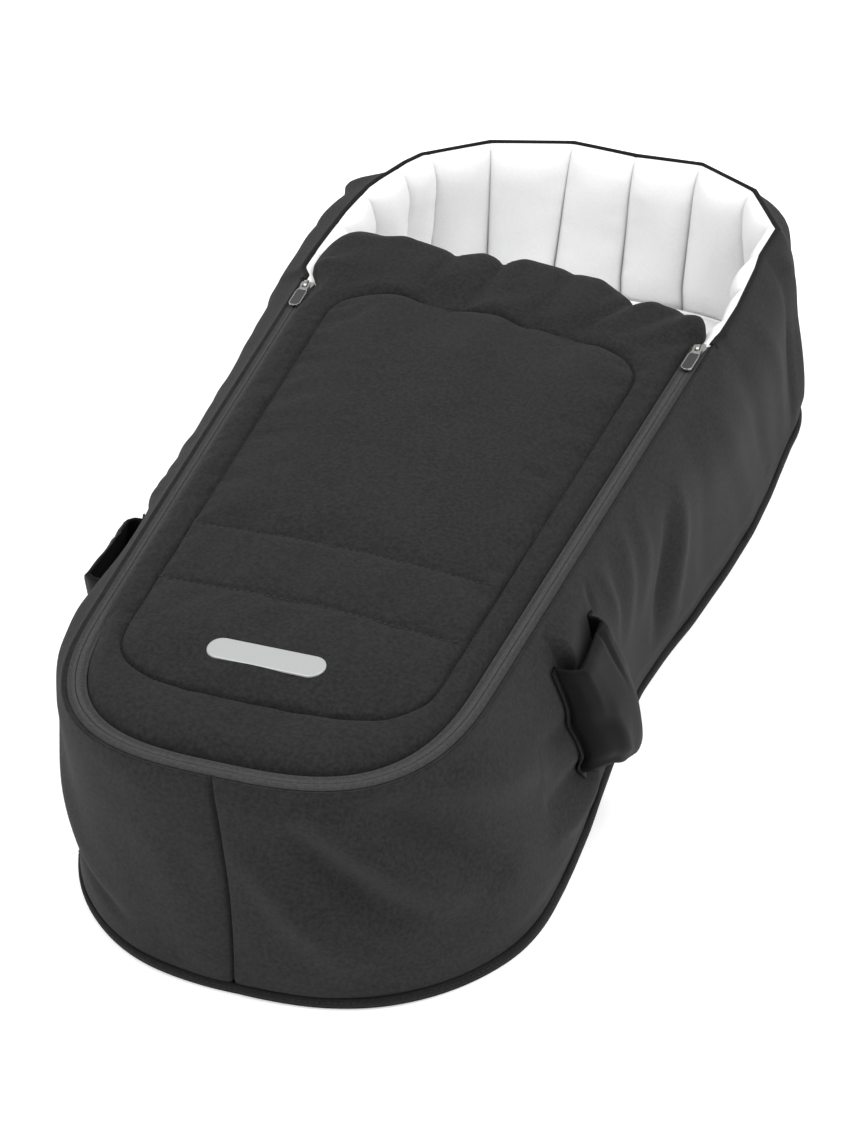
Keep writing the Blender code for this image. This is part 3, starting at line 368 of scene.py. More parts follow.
def woven(name, colour, light, pitch, depth, roughness, sheen):
    """Cloth: threads crossing at this pitch, a grain of lighter fibres, and a slow change of tone."""
    finish, tree, shader = new_finish(name, colour, roughness)
    shader.inputs["Sheen Weight"].default_value = sheen
    shader.inputs["Sheen Roughness"].default_value = 0.45
    shader.inputs["Specular IOR Level"].default_value = 0.12
    place = add_node(tree, "ShaderNodeUVMap", uv_map="cloth")
    apart = add_node(tree, "ShaderNodeSeparateXYZ", {"Vector": place.outputs["UV"]})
    threads = []
    for axis in ("X", "Y"):
        turned = add_node(tree, "ShaderNodeMath", {0: apart.outputs[axis], 1: 2 * math.pi / pitch},
                          operation="MULTIPLY")
        threads.append(add_node(tree, "ShaderNodeMath", {0: turned.outputs[0]}, operation="SINE"))
    crossing = add_node(tree, "ShaderNodeMath", {0: threads[0].outputs[0], 1: threads[1].outputs[0]},
                        operation="MULTIPLY")
    fibre = grain(tree, 0.8 / pitch, 4.0, 0.7)
    fleck = grain(tree, 0.34 / pitch, 3.0, 0.6)
    slow = grain(tree, 18.0)
    height = add_node(tree, "ShaderNodeMath", {0: crossing.outputs[0], 1: 0.5, 2: fibre},
                      operation="MULTIPLY_ADD")
    bump = add_node(tree, "ShaderNodeBump", {"Height": height.outputs[0], "Distance": depth, "Strength": 0.8})
    tree.links.new(bump.outputs["Normal"], shader.inputs["Normal"])
    speckle = add_node(tree, "ShaderNodeMapRange",
                       {"Value": fleck, "From Min": 0.34, "From Max": 0.66, "To Max": 1 - MOTTLE})
    tone = add_node(tree, "ShaderNodeMath", {0: slow, 1: MOTTLE, 2: speckle.outputs["Result"]},
                    operation="MULTIPLY_ADD")
    blend = add_node(tree, "ShaderNodeMix", {
        "Factor": tone.outputs[0], "A": (*colour, 1), "B": (*light, 1)}, data_type="RGBA")
    tree.links.new(blend.outputs["Result"], shader.inputs["Base Color"])
    return finish


def row_tree():
    """Rows of small raised shapes along a line, such as stitches, ribs or the links of a zip."""
    tree = bpy.data.node_groups.new("row along a line", "GeometryNodeTree")
    face = tree.interface
    face.new_socket("Line", in_out="INPUT", socket_type="NodeSocketGeometry")
    for key in ("Pitch", "Along", "Across", "Up"):
        face.new_socket(key, in_out="INPUT", socket_type="NodeSocketFloat")
    face.new_socket("Finish", in_out="INPUT", socket_type="NodeSocketMaterial")
    face.new_socket("Row", in_out="OUTPUT", socket_type="NodeSocketGeometry")
    given = add_node(tree, "NodeGroupInput")
    line = add_node(tree, "GeometryNodeMeshToCurve", {"Mesh": given.outputs["Line"]})
    spaced = add_node(tree, "GeometryNodeResampleCurve",
                      {"Curve": line.outputs["Curve"], "Length": given.outputs["Pitch"]},
                      mode="LENGTH")
    bead = add_node(tree, "GeometryNodeMeshUVSphere", {"Segments": 8, "Rings": 5, "Radius": 0.5})
    size = add_node(tree, "ShaderNodeCombineXYZ", {
        "X": given.outputs["Along"], "Y": given.outputs["Across"], "Z": given.outputs["Up"]})
    way = add_node(tree, "GeometryNodeInputTangent")
    turned = add_node(tree, "FunctionNodeAlignEulerToVector", {"Vector": way.outputs["Tangent"]}, axis="X")
    placed = add_node(tree, "GeometryNodeInstanceOnPoints", {
        "Points": spaced.outputs["Curve"], "Instance": bead.outputs["Mesh"],
        "Rotation": turned.outputs["Rotation"], "Scale": size.outputs["Vector"]})
    real = add_node(tree, "GeometryNodeRealizeInstances", {"Geometry": placed.outputs["Instances"]})
    smooth = add_node(tree, "GeometryNodeSetShadeSmooth", {"Geometry": real.outputs["Geometry"]})
    dressed = add_node(tree, "GeometryNodeSetMaterial", {
        "Geometry": smooth.outputs["Geometry"], "Material": given.outputs["Finish"]})
    add_node(tree, "NodeGroupOutput", {"Row": dressed.outputs["Geometry"]})
    return tree


ROW_TREE = row_tree()


def row_along(name, lines, pitch, size, finish, closed=False):
    """A piece of small shapes at a pitch along one or more lines. Size is along, across and up."""
    points = np.concatenate(lines)
    edges, start = [], 0
    for line in lines:
        count = len(line)
        edges += [(start + k, start + k + 1) for k in range(count - 1)]
        if closed:
            edges.append((start + count - 1, start))
        start += count
    mesh = bpy.data.meshes.new(name + "_line")
    mesh.from_pydata([tuple(map(float, p)) for p in points], edges, [])
    guide = bpy.data.objects.new(name + "_line", mesh)
    bpy.context.scene.collection.objects.link(guide)
    worker = guide.modifiers.new("row", "NODES")
    worker.node_group = ROW_TREE
    values = {"Pitch": pitch, "Along": size[0], "Across": size[1], "Up": size[2], "Finish": finish}
    for item in ROW_TREE.interface.items_tree:
        if item.in_out == "INPUT" and item.name in values:
            worker[item.identifier] = values[item.name]
    bpy.context.view_layer.update()
    made = bpy.data.meshes.new_from_object(guide.evaluated_get(bpy.context.evaluated_depsgraph_get()))
    made.name = name
    bpy.data.objects.remove(guide)
    piece = bpy.data.objects.new(name, made)
    bpy.context.scene.collection.objects.link(piece)
    return piece


DARK_CLOTH = woven("dark base cloth", (0.005, 0.005, 0.0054), (0.013, 0.013, 0.0138), 0.0007, 0.00012, 0.8,
                   0.03)
BLACK_THREAD = grained("black thread", (0.004, 0.004, 0.004), 3000.0, 0.0001)

BASE_SPINE = (0.14, 0.12)
BOTTOM_INSET = 0.0012
BOTTOM_SHARES = (0.05, 0.2, 0.4, 0.6, 0.8, 1.0)
base_edge = wall_ring(0.0)
bottom_profile = [(share, 0.0, -BOTTOM_INSET) for share in BOTTOM_SHARES[::-1]]
bottom_profile += [(0.0, 0.0, -0.0006), (0.0, 0.0006, 0.0), (0.0, BOTTOM_CLOTH, -0.0004)]
bottom_profile += [(share, BOTTOM_CLOTH, -BOTTOM_INSET) for share in BOTTOM_SHARES]
bottom_cloth = filled_piece("bottom_cloth", base_edge, BASE_SPINE, bottom_profile, DARK_CLOTH)
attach(bottom_cloth, "cot")
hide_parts("bottom_panel")

# Where the strip's ends lap over each other, how far that reaches and how far it stands out
STRIP_LAP = (0.576, 0.004, 0.0014)
STRIP_WAVES = 30
STRIP_WAVE = 0.0004
strip_heights = np.linspace(BOTTOM_CLOTH + 0.0003, STRIP_TOP, 9)
strip_wave = STRIP_WAVE * np.sin(ALONG * math.pi * STRIP_WAVES / HALF_SEAM)
strip_wave = strip_wave + STRIP_LAP[2] * bell(ALONG - STRIP_LAP[0], STRIP_LAP[1])
strip_front, strip_back = [], []
for strip_rise, strip_height in zip(np.linspace(0, 1, 9), strip_heights):
    swelling = STRIP_SWELL * abs(math.sin(math.pi * strip_rise)) ** 0.6
    strip_front.append(wall_ring(strip_height, swelling + strip_wave * strip_rise))
    strip_back.append(wall_ring(strip_height, -STRIP_CLOTH))
strip = layered_piece("base_strip_cloth", np.array(strip_front), np.array(strip_back), DARK_CLOTH, wrap=True,
                      uv=ring_uv(len(strip_heights), strip_heights))
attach(strip, "cot")
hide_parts("base_strip")
stitch_line = wall_ring(STRIP_TOP - STRIP_HEM, STRIP_SWELL * 0.8)
strip_stitches = row_along("base_strip_stitches", [stitch_line], 0.0034, (0.0022, THREAD, THREAD),
                           BLACK_THREAD, closed=True)
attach(strip_stitches, "cot")

BOARD_FINISH = grained("board", (0.06, 0.06, 0.065), 400.0, 0.0002, 0.6, 3.0)
BOARD_BOTTOM = 0.0015
BOARD_TOP = 0.0055
BOARD_INSET = 0.0024
BOARD_CHAMFER = 0.0005
BOARD_SHARES = (0.1, 0.5, 1.0)
board_profile = [(share, BOARD_BOTTOM, -BOARD_INSET) for share in BOARD_SHARES[::-1]]
board_profile += [(0.0, BOARD_BOTTOM, -BOARD_INSET - BOARD_CHAMFER),
                  (0.0, BOARD_BOTTOM + BOARD_CHAMFER, -BOARD_INSET),
                  (0.0, BOARD_TOP - BOARD_CHAMFER, -BOARD_INSET),
                  (0.0, BOARD_TOP, -BOARD_INSET - BOARD_CHAMFER)]
board_profile += [(share, BOARD_TOP, -BOARD_INSET) for share in BOARD_SHARES]
board = filled_piece("stiff_board", base_edge, BASE_SPINE, board_profile, BOARD_FINISH)
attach(board, "cot")
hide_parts("base_board")

# Walls: charcoal cloth over foam, in two halves that are sewn together down the middle of the foot
# and of the head. The cloth is a little loose, so soft folds run over it, and it rolls over at the top.
CHARCOAL = woven("charcoal cloth", (0.0100, 0.0100, 0.0103), (0.0232, 0.0232, 0.0238), 0.0008, 0.00016, 0.85,
                 0.04)
SIDE_BULGE = 0.015
FOOT_BULGE = 0.003
HEAD_BULGE = 0.009
WALL_CLOTH = 0.0012
WALL_FOAM = 0.0085
WALL_SHOULDER_SHARE = 0.18
ROLL_RADIUS = 0.0010
ROLL_OUT = 0.0006
ROLL_TOP = 0.1688
ROLL_TURNS = (25, 50, 75, 100, 125, 150)
ZIP_END = 0.596
SEAM_DIP = 0.0026
SEAM_DIP_WIDTH = 0.0015
SEAM_FULLNESS = 0.0016
SOFT_SLACK = 0.0022
FINE_SLACK = 0.0009
LINER_GAP = 0.0003
MOUTH_START = 0.2585
MOUTH_EASE = 0.005
MOUTH_BULGE = 0.0094
# The foot's seam: how far it sways at mid height and at the base, and how wide a strip of cloth goes with it
SEAM_SWAY = (0.0030, -0.0026, 0.04)


def bulge_at(y):
    side = mix(FOOT_BULGE, SIDE_BULGE, ease((y + HALF_LENGTH - 0.020) / 0.400))
    return mix(side, HEAD_BULGE, ease((y + HALF_LENGTH - 0.600) / (2 * HALF_LENGTH - 0.600)))


def near_segment(a, z, start, stop):
    """Distance from a fold's line, and the place along it from 0 to 1, on the unrolled wall."""
    way = stop - start
    share = ((a - start[0]) * way[0] + (z - start[1]) * way[1]) / (way @ way)
    inside = np.clip(share, 0, 1)
    return np.hypot(a - start[0] - inside * way[0], z - start[1] - inside * way[1]), inside


# Each fold, in millimetres: where it starts and stops, as distance round the seam from the foot's middle
# and height, its width and its rise
WALL_FOLDS = MM * np.array((
    (45, 135, 85, 74, 10, -6.6), (60, 152, 112, 74, 12, 6.2), (88, 154, 140, 76, 12, -7.8),
    (20, 110, 62, 42, 12, 5.4), (130, 156, 196, 106, 16, 7), (-108, 46, -70, 32, 6, -3.4),
    (-140, 125, -90, 50, 14, 4.4), (-40, 130, -30, 60, 14, 1.6), (276, 52, 200, 76, 8, -5.8),
    (272, 36, 196, 52, 9, 5.2), (280, 30, 215, 24, 6, -2.6), (262, 95, 215, 112, 8, -2.6),
    (322, 162, 316, 140, 3.4, -2), (338, 160, 345, 112, 6, 1.8), (356, 160, 350, 90, 6.4, -1.5),
    (380, 163, 364, 90, 8.5, 2.2), (408, 160, 388, 80, 10, 2), (440, 125, 415, 44, 9.5, -5.6),
    (462, 135, 440, 45, 11, 4.4), (500, 156, 492, 50, 15, -2), (540, 150, 585, 40, 16, 3.4),
    (600, 150, 632, 45, 14, -3), (655, 152, 690, 45, 13, 3.2), (728, 158, 722, 30, 9, -3.6),
    (752, 156, 760, 30, 11, 3.4), (790, 156, 800, 50, 9, -2.6), (880, 140, 900, 40, 16, 2.6),
    (-880, 140, -860, 40, 14, -2.4), (-740, 150, -735, 40, 12, 3.4), (-700, 155, -690, 50, 9, -3.4),
    (-600, 155, -640, 45, 14, 3), (-540, 150, -520, 50, 12, -2.8), (-470, 145, -440, 45, 11, 3),
    (-400, 160, -385, 80, 7, 2.4), (-360, 160, -352, 90, 5, -2.2), (-338, 158, -342, 110, 4.5, 2.2),
    (-268, 44, -205, 60, 8, 3.4), (-276, 60, -215, 86, 8, -3.4),
))
# Each fullness, in millimetres: its middle, as distance round the seam and height, its reach along and up,
# and its rise
WALL_FULLNESS = MM * np.array((
    (-460, 135, 240, 50, 6.2), (-205, 156, 60, 22, 9.5), (-130, 112, 40, 30, -2), (-728, 149, 50, 34, 8.4),
    (-645, 149, 80, 36, 8.8), (-535, 150, 30, 30, 2.2), (-775, 151, 15, 24, 15), (-806, 152, 16, 30, -7),
    (-352, 150, 28, 30, 4.4), (215, 48, 90, 50, 7), (500, 45, 160, 50, 5), (760, 115, 50, 34, -5.2),
    (828, 156, 26, 20, 6), (760, 35, 50, 30, 2.2),
))


def wall_slack(a, z):
    """How the loose cloth stands out from the foam, by distance round the seam and height."""
    out = np.zeros(a.shape)
    for fold in WALL_FOLDS:
        width, rise = fold[4:]
        distance, inside = near_segment(a, z, fold[:2], fold[2:4])
        out = out + rise * bell(distance, width) * np.sin(np.pi * (0.15 + 0.7 * inside))
    soft = soft_noise(a * 9.0, z * 11.0, 3.1)
    fine = soft_noise(a * 31.0 + z * 12.0, z * 19.0, 8.7)
    at_seam = bell(HALF_SEAM - np.abs(a), 0.02)
    out = out + (SOFT_SLACK * soft + FINE_SLACK * fine) * (1 - at_seam)
    out = out * ease(z / 0.025) * ease((WALL_HEIGHT - z) / 0.020)
    for middle, level, along, up, rise in WALL_FULLNESS:
        swelling = rise * bell(a - middle, along) * bell(z - level, up)
        out = out + swelling * ease((z - 0.010) / 0.02) * ease((WALL_HEIGHT - z) / 0.016)
    return out


def zipped(a):
    """1 beside the zip and 0 round the head's rim."""
    return 1 - ease((np.abs(a) - ZIP_END) / 0.02)


def outer_offset(height, slack=True):
    """The wall's outer face at one height, all round."""
    share = min(height / WALL_HEIGHT, 1.0)
    y = mix(BASE_RING, TOP_RING, share)[:, 1]
    out = bulge_at(y) * math.sin(math.pi * share**2.2)
    if slack:
        out = out + wall_slack(ALONG, np.full(RING_COUNT, height))
    roll = ease((height - 0.130) / (WALL_HEIGHT - 0.130))
    out = out + (ROLL_OUT + ROLL_RADIUS) * roll * zipped(ALONG)
    for place in (np.abs(ALONG), np.abs(FROM_HEAD)):
        beside = (1 - bell(place, 0.006)) * bell(place, 0.03)
        out = out + SEAM_FULLNESS * beside * math.sin(math.pi * share) ** 0.5
        out = out - SEAM_DIP * bell(place, SEAM_DIP_WIDTH)
    return out


def inner_offset(height):
    """The back of the foam, which thins out toward the top seam."""
    rise = max(0.0, (height / WALL_HEIGHT - 1 + WALL_SHOULDER_SHARE) / WALL_SHOULDER_SHARE)
    return -WALL_CLOTH - WALL_FOAM * math.sqrt(1 - min(rise, 1) ** 2)


# The head's rim runs straight from one corner to the next. In millimetres: each corner's distance round
# from the head's middle, and how far the rim lies from its even outline there
RIM_CORNERS = MM * np.array((
    (-400, -2, 0), (-357.1, -6.2, -0.3), (-323.4, -6, -0.6), (-289.8, -4.4, 0), (-265.8, -2.6, 0.4),
    (-244.2, -0.6, 0.5), (-222.6, 2, -0.9), (-208.2, 4.2, -1.5), (-174.6, 8.4, -2.6), (-153, 7.9, -5.5),
    (-90.5, 3.5, -7.3), (-25.7, 0, 0.7), (23.3, 1.1, -5.5), (73.7, 1, 0.4), (131.4, -2.8, -2.8),
    (193.8, 0.7, -0.2), (237, -3.9, 1.1), (256.2, -1.5, -0.4), (311.4, 2.1, -1.1), (369.1, 1.4, 0.2),
    (429.2, 0, 0),
))


def on_chords(values):
    """Straightens what runs round the head between one corner of the rim and the next."""
    order = np.argsort(FROM_HEAD)
    found = np.empty_like(values)
    for axis in range(values.shape[1]):
        at_corners = np.interp(RIM_CORNERS[:, 0], FROM_HEAD[order], values[order, axis])
        at_corners = at_corners + RIM_CORNERS[:, 1 + axis]
        found[:, axis] = np.interp(FROM_HEAD, RIM_CORNERS[:, 0], at_corners)
    return found


def rim_pull(ring, share):
    """Draws a ring toward the straight runs of the head's rim, by this share."""
    here = share * (1 - zipped(ALONG)) * ease((np.abs(ALONG) - 0.598) / 0.02)
    pulled = ring.copy()
    pulled[:, :2] = mix(ring[:, :2], on_chords(ring[:, :2]), here[:, None])
    return pulled


def shell_pull(height):
    return float(ease((height - 0.146) / 0.020))


def liner_pull(height):
    return float(ease((height / WALL_HEIGHT - 0.25) / 0.7))


wall_heights = np.concatenate([np.linspace(0.0062, 0.150, 46),
                               np.linspace(0.1528, WALL_HEIGHT - ROLL_RADIUS, 8)])


def mouth_bulge(height):
    """The wall's cloth stands out in the mouth of the right sleeve."""
    past = ALONG - MOUTH_START
    along = ease(past / MOUTH_EASE) * bell(np.maximum(past - MOUTH_EASE, 0), 0.030)
    up = bell(height - 0.150, 0.022) * ease((WALL_HEIGHT - height) / 0.014)
    return MOUTH_BULGE * along * up


def swayed_ring(height, offset):
    """A ring of the wall's face. The foot's seam wavers a little to each side on its way down."""
    ring = wall_ring(height, offset)
    share = height / WALL_HEIGHT
    sway = SEAM_SWAY[0] * math.sin(math.pi * share) + SEAM_SWAY[1] * (1 - share) ** 2
    ring[:, 0] += sway * bell(ALONG, SEAM_SWAY[2])
    return ring


wall_front = [rim_pull(swayed_ring(height, outer_offset(height) + mouth_bulge(height)), shell_pull(height))
              for height in wall_heights]
# The wall's two lowest rows tuck in behind the base strip
for row, tuck in enumerate((STRIP_CLOTH + 0.0003, 0.0008)):
    wall_front[row] = swayed_ring(wall_heights[row], outer_offset(wall_heights[row]) - tuck)
wall_back = [rim_pull(wall_ring(height, inner_offset(height)), liner_pull(height)) for height in wall_heights]
top_offset = outer_offset(WALL_HEIGHT, slack=False)
lift = ROLL_TOP - WALL_HEIGHT
for turn in np.radians(ROLL_TURNS):
    edge = wall_ring(WALL_HEIGHT, top_offset - ROLL_RADIUS + ROLL_RADIUS * math.cos(turn))
    edge[:, 2] += -ROLL_RADIUS + ROLL_RADIUS * math.sin(turn) + lift * zipped(ALONG)
    wall_front.append(rim_pull(edge, 1.0))
    inner = wall_ring(WALL_HEIGHT, -WALL_CLOTH - 0.0004 + 0.0002 * math.cos(turn))
    inner[:, 2] = edge[:, 2] - 0.0006
    wall_back.append(rim_pull(inner, 1.0))
wall_front, wall_back = np.array(wall_front), np.array(wall_back)
wall_rows_uv = ring_uv(len(wall_front),
                       np.concatenate([wall_heights, WALL_HEIGHT + ROLL_RADIUS * np.arange(len(ROLL_TURNS))]))
right_columns = np.arange(0, HEAD_INDEX + 1)
left_columns = np.concatenate([np.arange(HEAD_INDEX, RING_COUNT), [0]])
right_wall = layered_piece("wall_right", wall_front[:, right_columns], wall_back[:, right_columns], CHARCOAL,
                           uv=wall_rows_uv[:, right_columns])
left_uv = wall_rows_uv[:, left_columns].copy()
left_uv[:, 0, 0] *= -1
left_wall = layered_piece("wall_left", wall_front[:, left_columns], wall_back[:, left_columns], CHARCOAL,
                          uv=left_uv)
for wall, stands_for in ((right_wall, ("shell_right", "side_foam_right", "foot_foam")),
                         (left_wall, ("shell_left", "side_foam_left", "head_foam"))):
    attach(wall, "cot")
    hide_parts(*stands_for)

# Liner: plain white cotton under the apron and on the floor, and a quilted part round the head,
# puffed between upright seams about 5 cm apart. The foot part is one strip, sewn in at the zip.
LINER_CLOTH = 0.0010
LINER_BOTTOM = 0.0058
LINER_TOP = 0.1672
LINER_SPLIT = 0.598
FLOOR_LINER_TOP = 0.0068
FLOOR_SHARES = (0.0, 0.1, 0.25, 0.5, 0.75, 1.0)
LINER_SLACK = 0.0012
QUILT_PUFF = 0.0105
QUILT_CREASE = 0.0038
QUILT_PUCKER = 0.0022
WHITE_COTTON = woven("white cotton", (0.84, 0.84, 0.84), (0.89, 0.89, 0.89), 0.0006, 0.00008, 0.9, 0.03)


def foot_columns(reach):
    """The ring's columns within reach of the foot's middle, from left to right."""
    columns = np.concatenate([np.where(ALONG < 0)[0], np.where(ALONG >= 0)[0]])
    return columns[np.abs(ALONG[columns]) < reach]


liner_heights = np.concatenate([np.linspace(LINER_BOTTOM, 0.130, 26), np.linspace(0.1345, LINER_TOP, 10)])
liner_front, liner_back = [], []
for height in liner_heights:
    loose = LINER_SLACK * np.abs(soft_noise(ALONG * 14.0, height * 12.0, 21.0))
    loose = loose * ease((LINER_TOP - height) / 0.02) * ease(height / 0.03)
    liner_front.append(wall_ring(height, inner_offset(height) - LINER_GAP))
    liner_back.append(wall_ring(height, inner_offset(height) - LINER_GAP - LINER_CLOTH - loose))
liner_front, liner_back = np.array(liner_front), np.array(liner_back)
liner_uv = ring_uv(len(liner_heights), liner_heights)
liner_columns = foot_columns(LINER_SPLIT)
foot_liner = layered_piece("liner_foot", liner_front[:, liner_columns], liner_back[:, liner_columns],
                           WHITE_COTTON, uv=liner_uv[:, liner_columns])
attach(foot_liner, "cot")
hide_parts("foot_liner", "side_liner_right", "side_liner_left")

floor_ring = wall_ring(FLOOR_LINER_TOP, inner_offset(0.0) - 0.0016 - LINER_CLOTH)
floor_profile = [(share, LINER_BOTTOM, 0.0) for share in FLOOR_SHARES[::-1]]
floor_profile += [(share, FLOOR_LINER_TOP, 0.0) for share in FLOOR_SHARES]
floor_liner = filled_piece("liner_floor", floor_ring, (0.13, 0.11), floor_profile, WHITE_COTTON)
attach(floor_liner, "cot")
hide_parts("floor_liner")

# Each upright seam of the quilting: its distance round from the head's middle, how far it drifts
# to the right on its way down, and how dark the painted shade in its crease is
QUILT_SEAMS = np.array((
    (-0.37, 0, 0.2), (-0.33, 0, 0.1), (-0.283, 0, 0.1), (-0.235, 0.003, 0.1), (-0.185, 0.006, 0.1),
    (-0.148, 0.009, 0.3), (-0.0905, 0.0045, 0.9), (-0.0257, -0.0085, 0.8), (0.0233, -0.007, 1),
    (0.0737, -0.01, 0.9), (0.1314, -0.008, 0.3), (0.186, -0.004, 0.2), (0.237, 0, 0.3), (0.285, 0, 0.3),
    (0.33, 0, 0.3), (0.37, 0, 0.5),
))
QUILT_STEPS = 20
QUILT_DROP = 0.10
head_order = np.argsort(FROM_HEAD)
quilt_steps = (1 - np.cos(np.pi * np.arange(QUILT_STEPS) / QUILT_STEPS)) / 2
quilt_widths = np.diff(QUILT_SEAMS[:, 0])
quilt_at = np.append((QUILT_SEAMS[:-1, :1] + quilt_widths[:, None] * quilt_steps).ravel(), QUILT_SEAMS[-1, 0])
quilt_place = np.append(np.tile(quilt_steps, len(quilt_widths)), 0.0)
quilt_number = np.append(np.repeat(np.arange(len(quilt_widths)), QUILT_STEPS), len(quilt_widths))
quilt_drift = np.interp(quilt_at, QUILT_SEAMS[:, 0], QUILT_SEAMS[:, 1])
quilt_from_seam = np.abs(quilt_at[:, None] - QUILT_SEAMS[:, 0]).min(axis=1)


def quilt_row(ring, height):
    """Points of a ring at the quilting's own columns, which drift with its seams."""
    places = quilt_at + quilt_drift * np.clip((WALL_HEIGHT - height) / QUILT_DROP, 0, 1)
    return np.stack([np.interp(places, FROM_HEAD[head_order], ring[head_order, axis]) for axis in range(3)],
                    axis=1)


quilt_heights = np.concatenate([np.linspace(LINER_BOTTOM, 0.150, 48), np.linspace(0.1524, WALL_HEIGHT, 9)])
quilt_front, quilt_back = [], []
channel_fullness = 1 + 0.25 * np.sin(quilt_number * 2.3)
wrinkle_fall = bell(quilt_from_seam, 0.012)
across = np.abs(np.sin(np.pi * quilt_place)) ** 0.45
for height in quilt_heights:
    fade = math.sqrt(max(0.0, 1 - (height / LINER_TOP) ** 11))
    creases = soft_noise(quilt_at * 26.0, height * 20.0, quilt_number * 3.7)
    pucker = soft_noise(quilt_number * 5.1 + quilt_at * 20.0, height * 75.0, 2.0)
    low = 0.45 + 0.55 * float(ease((height - 0.045) / 0.03))
    puff = QUILT_PUFF * low * channel_fullness + QUILT_CREASE * creases + QUILT_PUCKER * pucker * wrinkle_fall
    puff = puff * across * fade
    base_in = inner_offset(height) - LINER_GAP
    front = quilt_row(rim_pull(wall_ring(height, base_in), liner_pull(height)), height)
    deep = quilt_row(rim_pull(wall_ring(height, base_in - QUILT_PUFF), liner_pull(height)), height)
    inward = (deep - front) / QUILT_PUFF
    quilt_front.append(front)
    quilt_back.append(front + inward * (LINER_CLOTH + np.maximum(puff, 0))[:, None])
quilt_front, quilt_back = np.array(quilt_front), np.array(quilt_back)
quilt_uv = np.stack(np.meshgrid(quilt_at, quilt_heights), axis=2)
# The quilted cotton's colour is mixed toward dark grey by the crease value: painted shade along each seam's
# crease and low down in the well.
QUILTED = woven("quilted cotton", (0.87, 0.87, 0.87), (0.92, 0.92, 0.92), 0.0006, 0.00008, 0.9, 0.03)
quilted_tree = QUILTED.node_tree
quilted_shader = quilted_tree.nodes["Principled BSDF"]
seam_shade_node = add_node(quilted_tree, "ShaderNodeAttribute", attribute_name="crease")
seam_shaded_colour = add_node(quilted_tree, "ShaderNodeMix", {
    "Factor": seam_shade_node.outputs["Fac"], "A": quilted_shader.inputs["Base Color"].links[0].from_socket,
    "B": (0.22, 0.22, 0.23, 1)}, data_type="RGBA")
quilted_tree.links.new(seam_shaded_colour.outputs["Result"], quilted_shader.inputs["Base Color"])
head_liner = layered_piece("liner_head", quilt_front, quilt_back, QUILTED, uv=quilt_uv)
corner_vertex = np.zeros(len(head_liner.data.loops), np.int32)
corner_uv = np.zeros(2 * len(head_liner.data.loops), np.float32)
head_liner.data.loops.foreach_get("vertex_index", corner_vertex)
head_liner.data.uv_layers["cloth"].data.foreach_get("uv", corner_uv)
vertex_uv = np.zeros((len(head_liner.data.vertices), 2))
vertex_uv[corner_vertex] = corner_uv.reshape(-1, 2)
# The crease value is painted shade: a narrow dark line at each seam, a wider soft band beside it, and a
# general darkening toward the bottom.
to_seam = vertex_uv[:, :1] - QUILT_SEAMS[:, 0]
lowness = 1 - ease((vertex_uv[:, 1] - 0.060) / 0.100)
crease = (QUILT_SEAMS[:, 2] * bell(to_seam, 0.0012)).sum(axis=1) * (0.18 + 0.40 * lowness)
crease += (QUILT_SEAMS[:, 2] * bell(to_seam, 0.0050)).sum(axis=1) * 0.10 * lowness + 0.04 * lowness
seam_shade_layer = head_liner.data.attributes.new("crease", "FLOAT", "POINT")
seam_shade_layer.data.foreach_set("value", crease.astype(np.float32))
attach(head_liner, "cot")
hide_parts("head_liner")
# The quilting's stitches are real, but their grey tone is partly painted shade: it darkens the line of each
# seam.
GREY_THREAD = grained("grey thread", (0.45, 0.45, 0.46), 3000.0, 0.0001)
quilt_lines = [quilt_back[6:-3, number * QUILT_STEPS] for number in range(1, len(QUILT_SEAMS) - 1)]
quilt_stitches = row_along("quilt_stitches", quilt_lines, 0.0026, (0.0022, 0.0008, 0.0006), GREY_THREAD)
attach(quilt_stitches, "cot")

# Rim: black bias tape folded over the top edges of the wall and the quilted liner round the head. Its
# edges are a little rippled by the stitching.
BINDING_OUT = 0.0054
BINDING_IN = 0.0042
BINDING_CLOTH = 0.0008
BINDING_RIPPLE = 0.00018
rim_columns = np.where(np.abs(ALONG) >= LINER_SPLIT - 0.002)[0]
outer_edge = outer_offset(WALL_HEIGHT, slack=False) + LINER_GAP
inner_edge = np.full(RING_COUNT, inner_offset(WALL_HEIGHT) - LINER_GAP - LINER_CLOTH - LINER_GAP)
rim_outer, rim_inner = [], []
# The tape's path over the rim: how far across it, from the outer face to the inner one, and its rise
binding_path = ((0, -BINDING_OUT), (0, -0.0030), (0, -0.0012), (0.12, -0.0001), (0.35, 0.0005),
                (0.65, 0.0005), (0.88, -0.0001), (1, -0.0010), (1, -0.0020), (1, -BINDING_IN))
for number, (across, rise) in enumerate(binding_path):
    height, level = WALL_HEIGHT + rise, WALL_HEIGHT + min(rise, 0)
    swelling = BINDING_CLOTH * (1 - 2 * across)
    ripple = BINDING_RIPPLE * np.sin(FROM_HEAD * 700) * (0 < number < len(binding_path) - 1)
    middle = mix(outer_edge, inner_edge, across)
    rim_inner.append(rim_pull(wall_ring(level, middle), 1.0))
    rim_outer.append(rim_pull(wall_ring(level, middle + swelling + ripple), 1.0))
    rim_inner[-1][:, 2] = height
    rim_outer[-1][:, 2] = height + BINDING_CLOTH * math.sin(math.pi * across) ** 0.5
rim_outer, rim_inner = np.array(rim_outer)[:, rim_columns], np.array(rim_inner)[:, rim_columns]
rim_uv = ring_uv(len(binding_path), BINDING_CLOTH * np.arange(len(binding_path)))[:, rim_columns]
rim = layered_piece("rim_tape", rim_outer, rim_inner, DARK_CLOTH, uv=rim_uv)
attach(rim, "cot")
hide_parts("rim_binding")

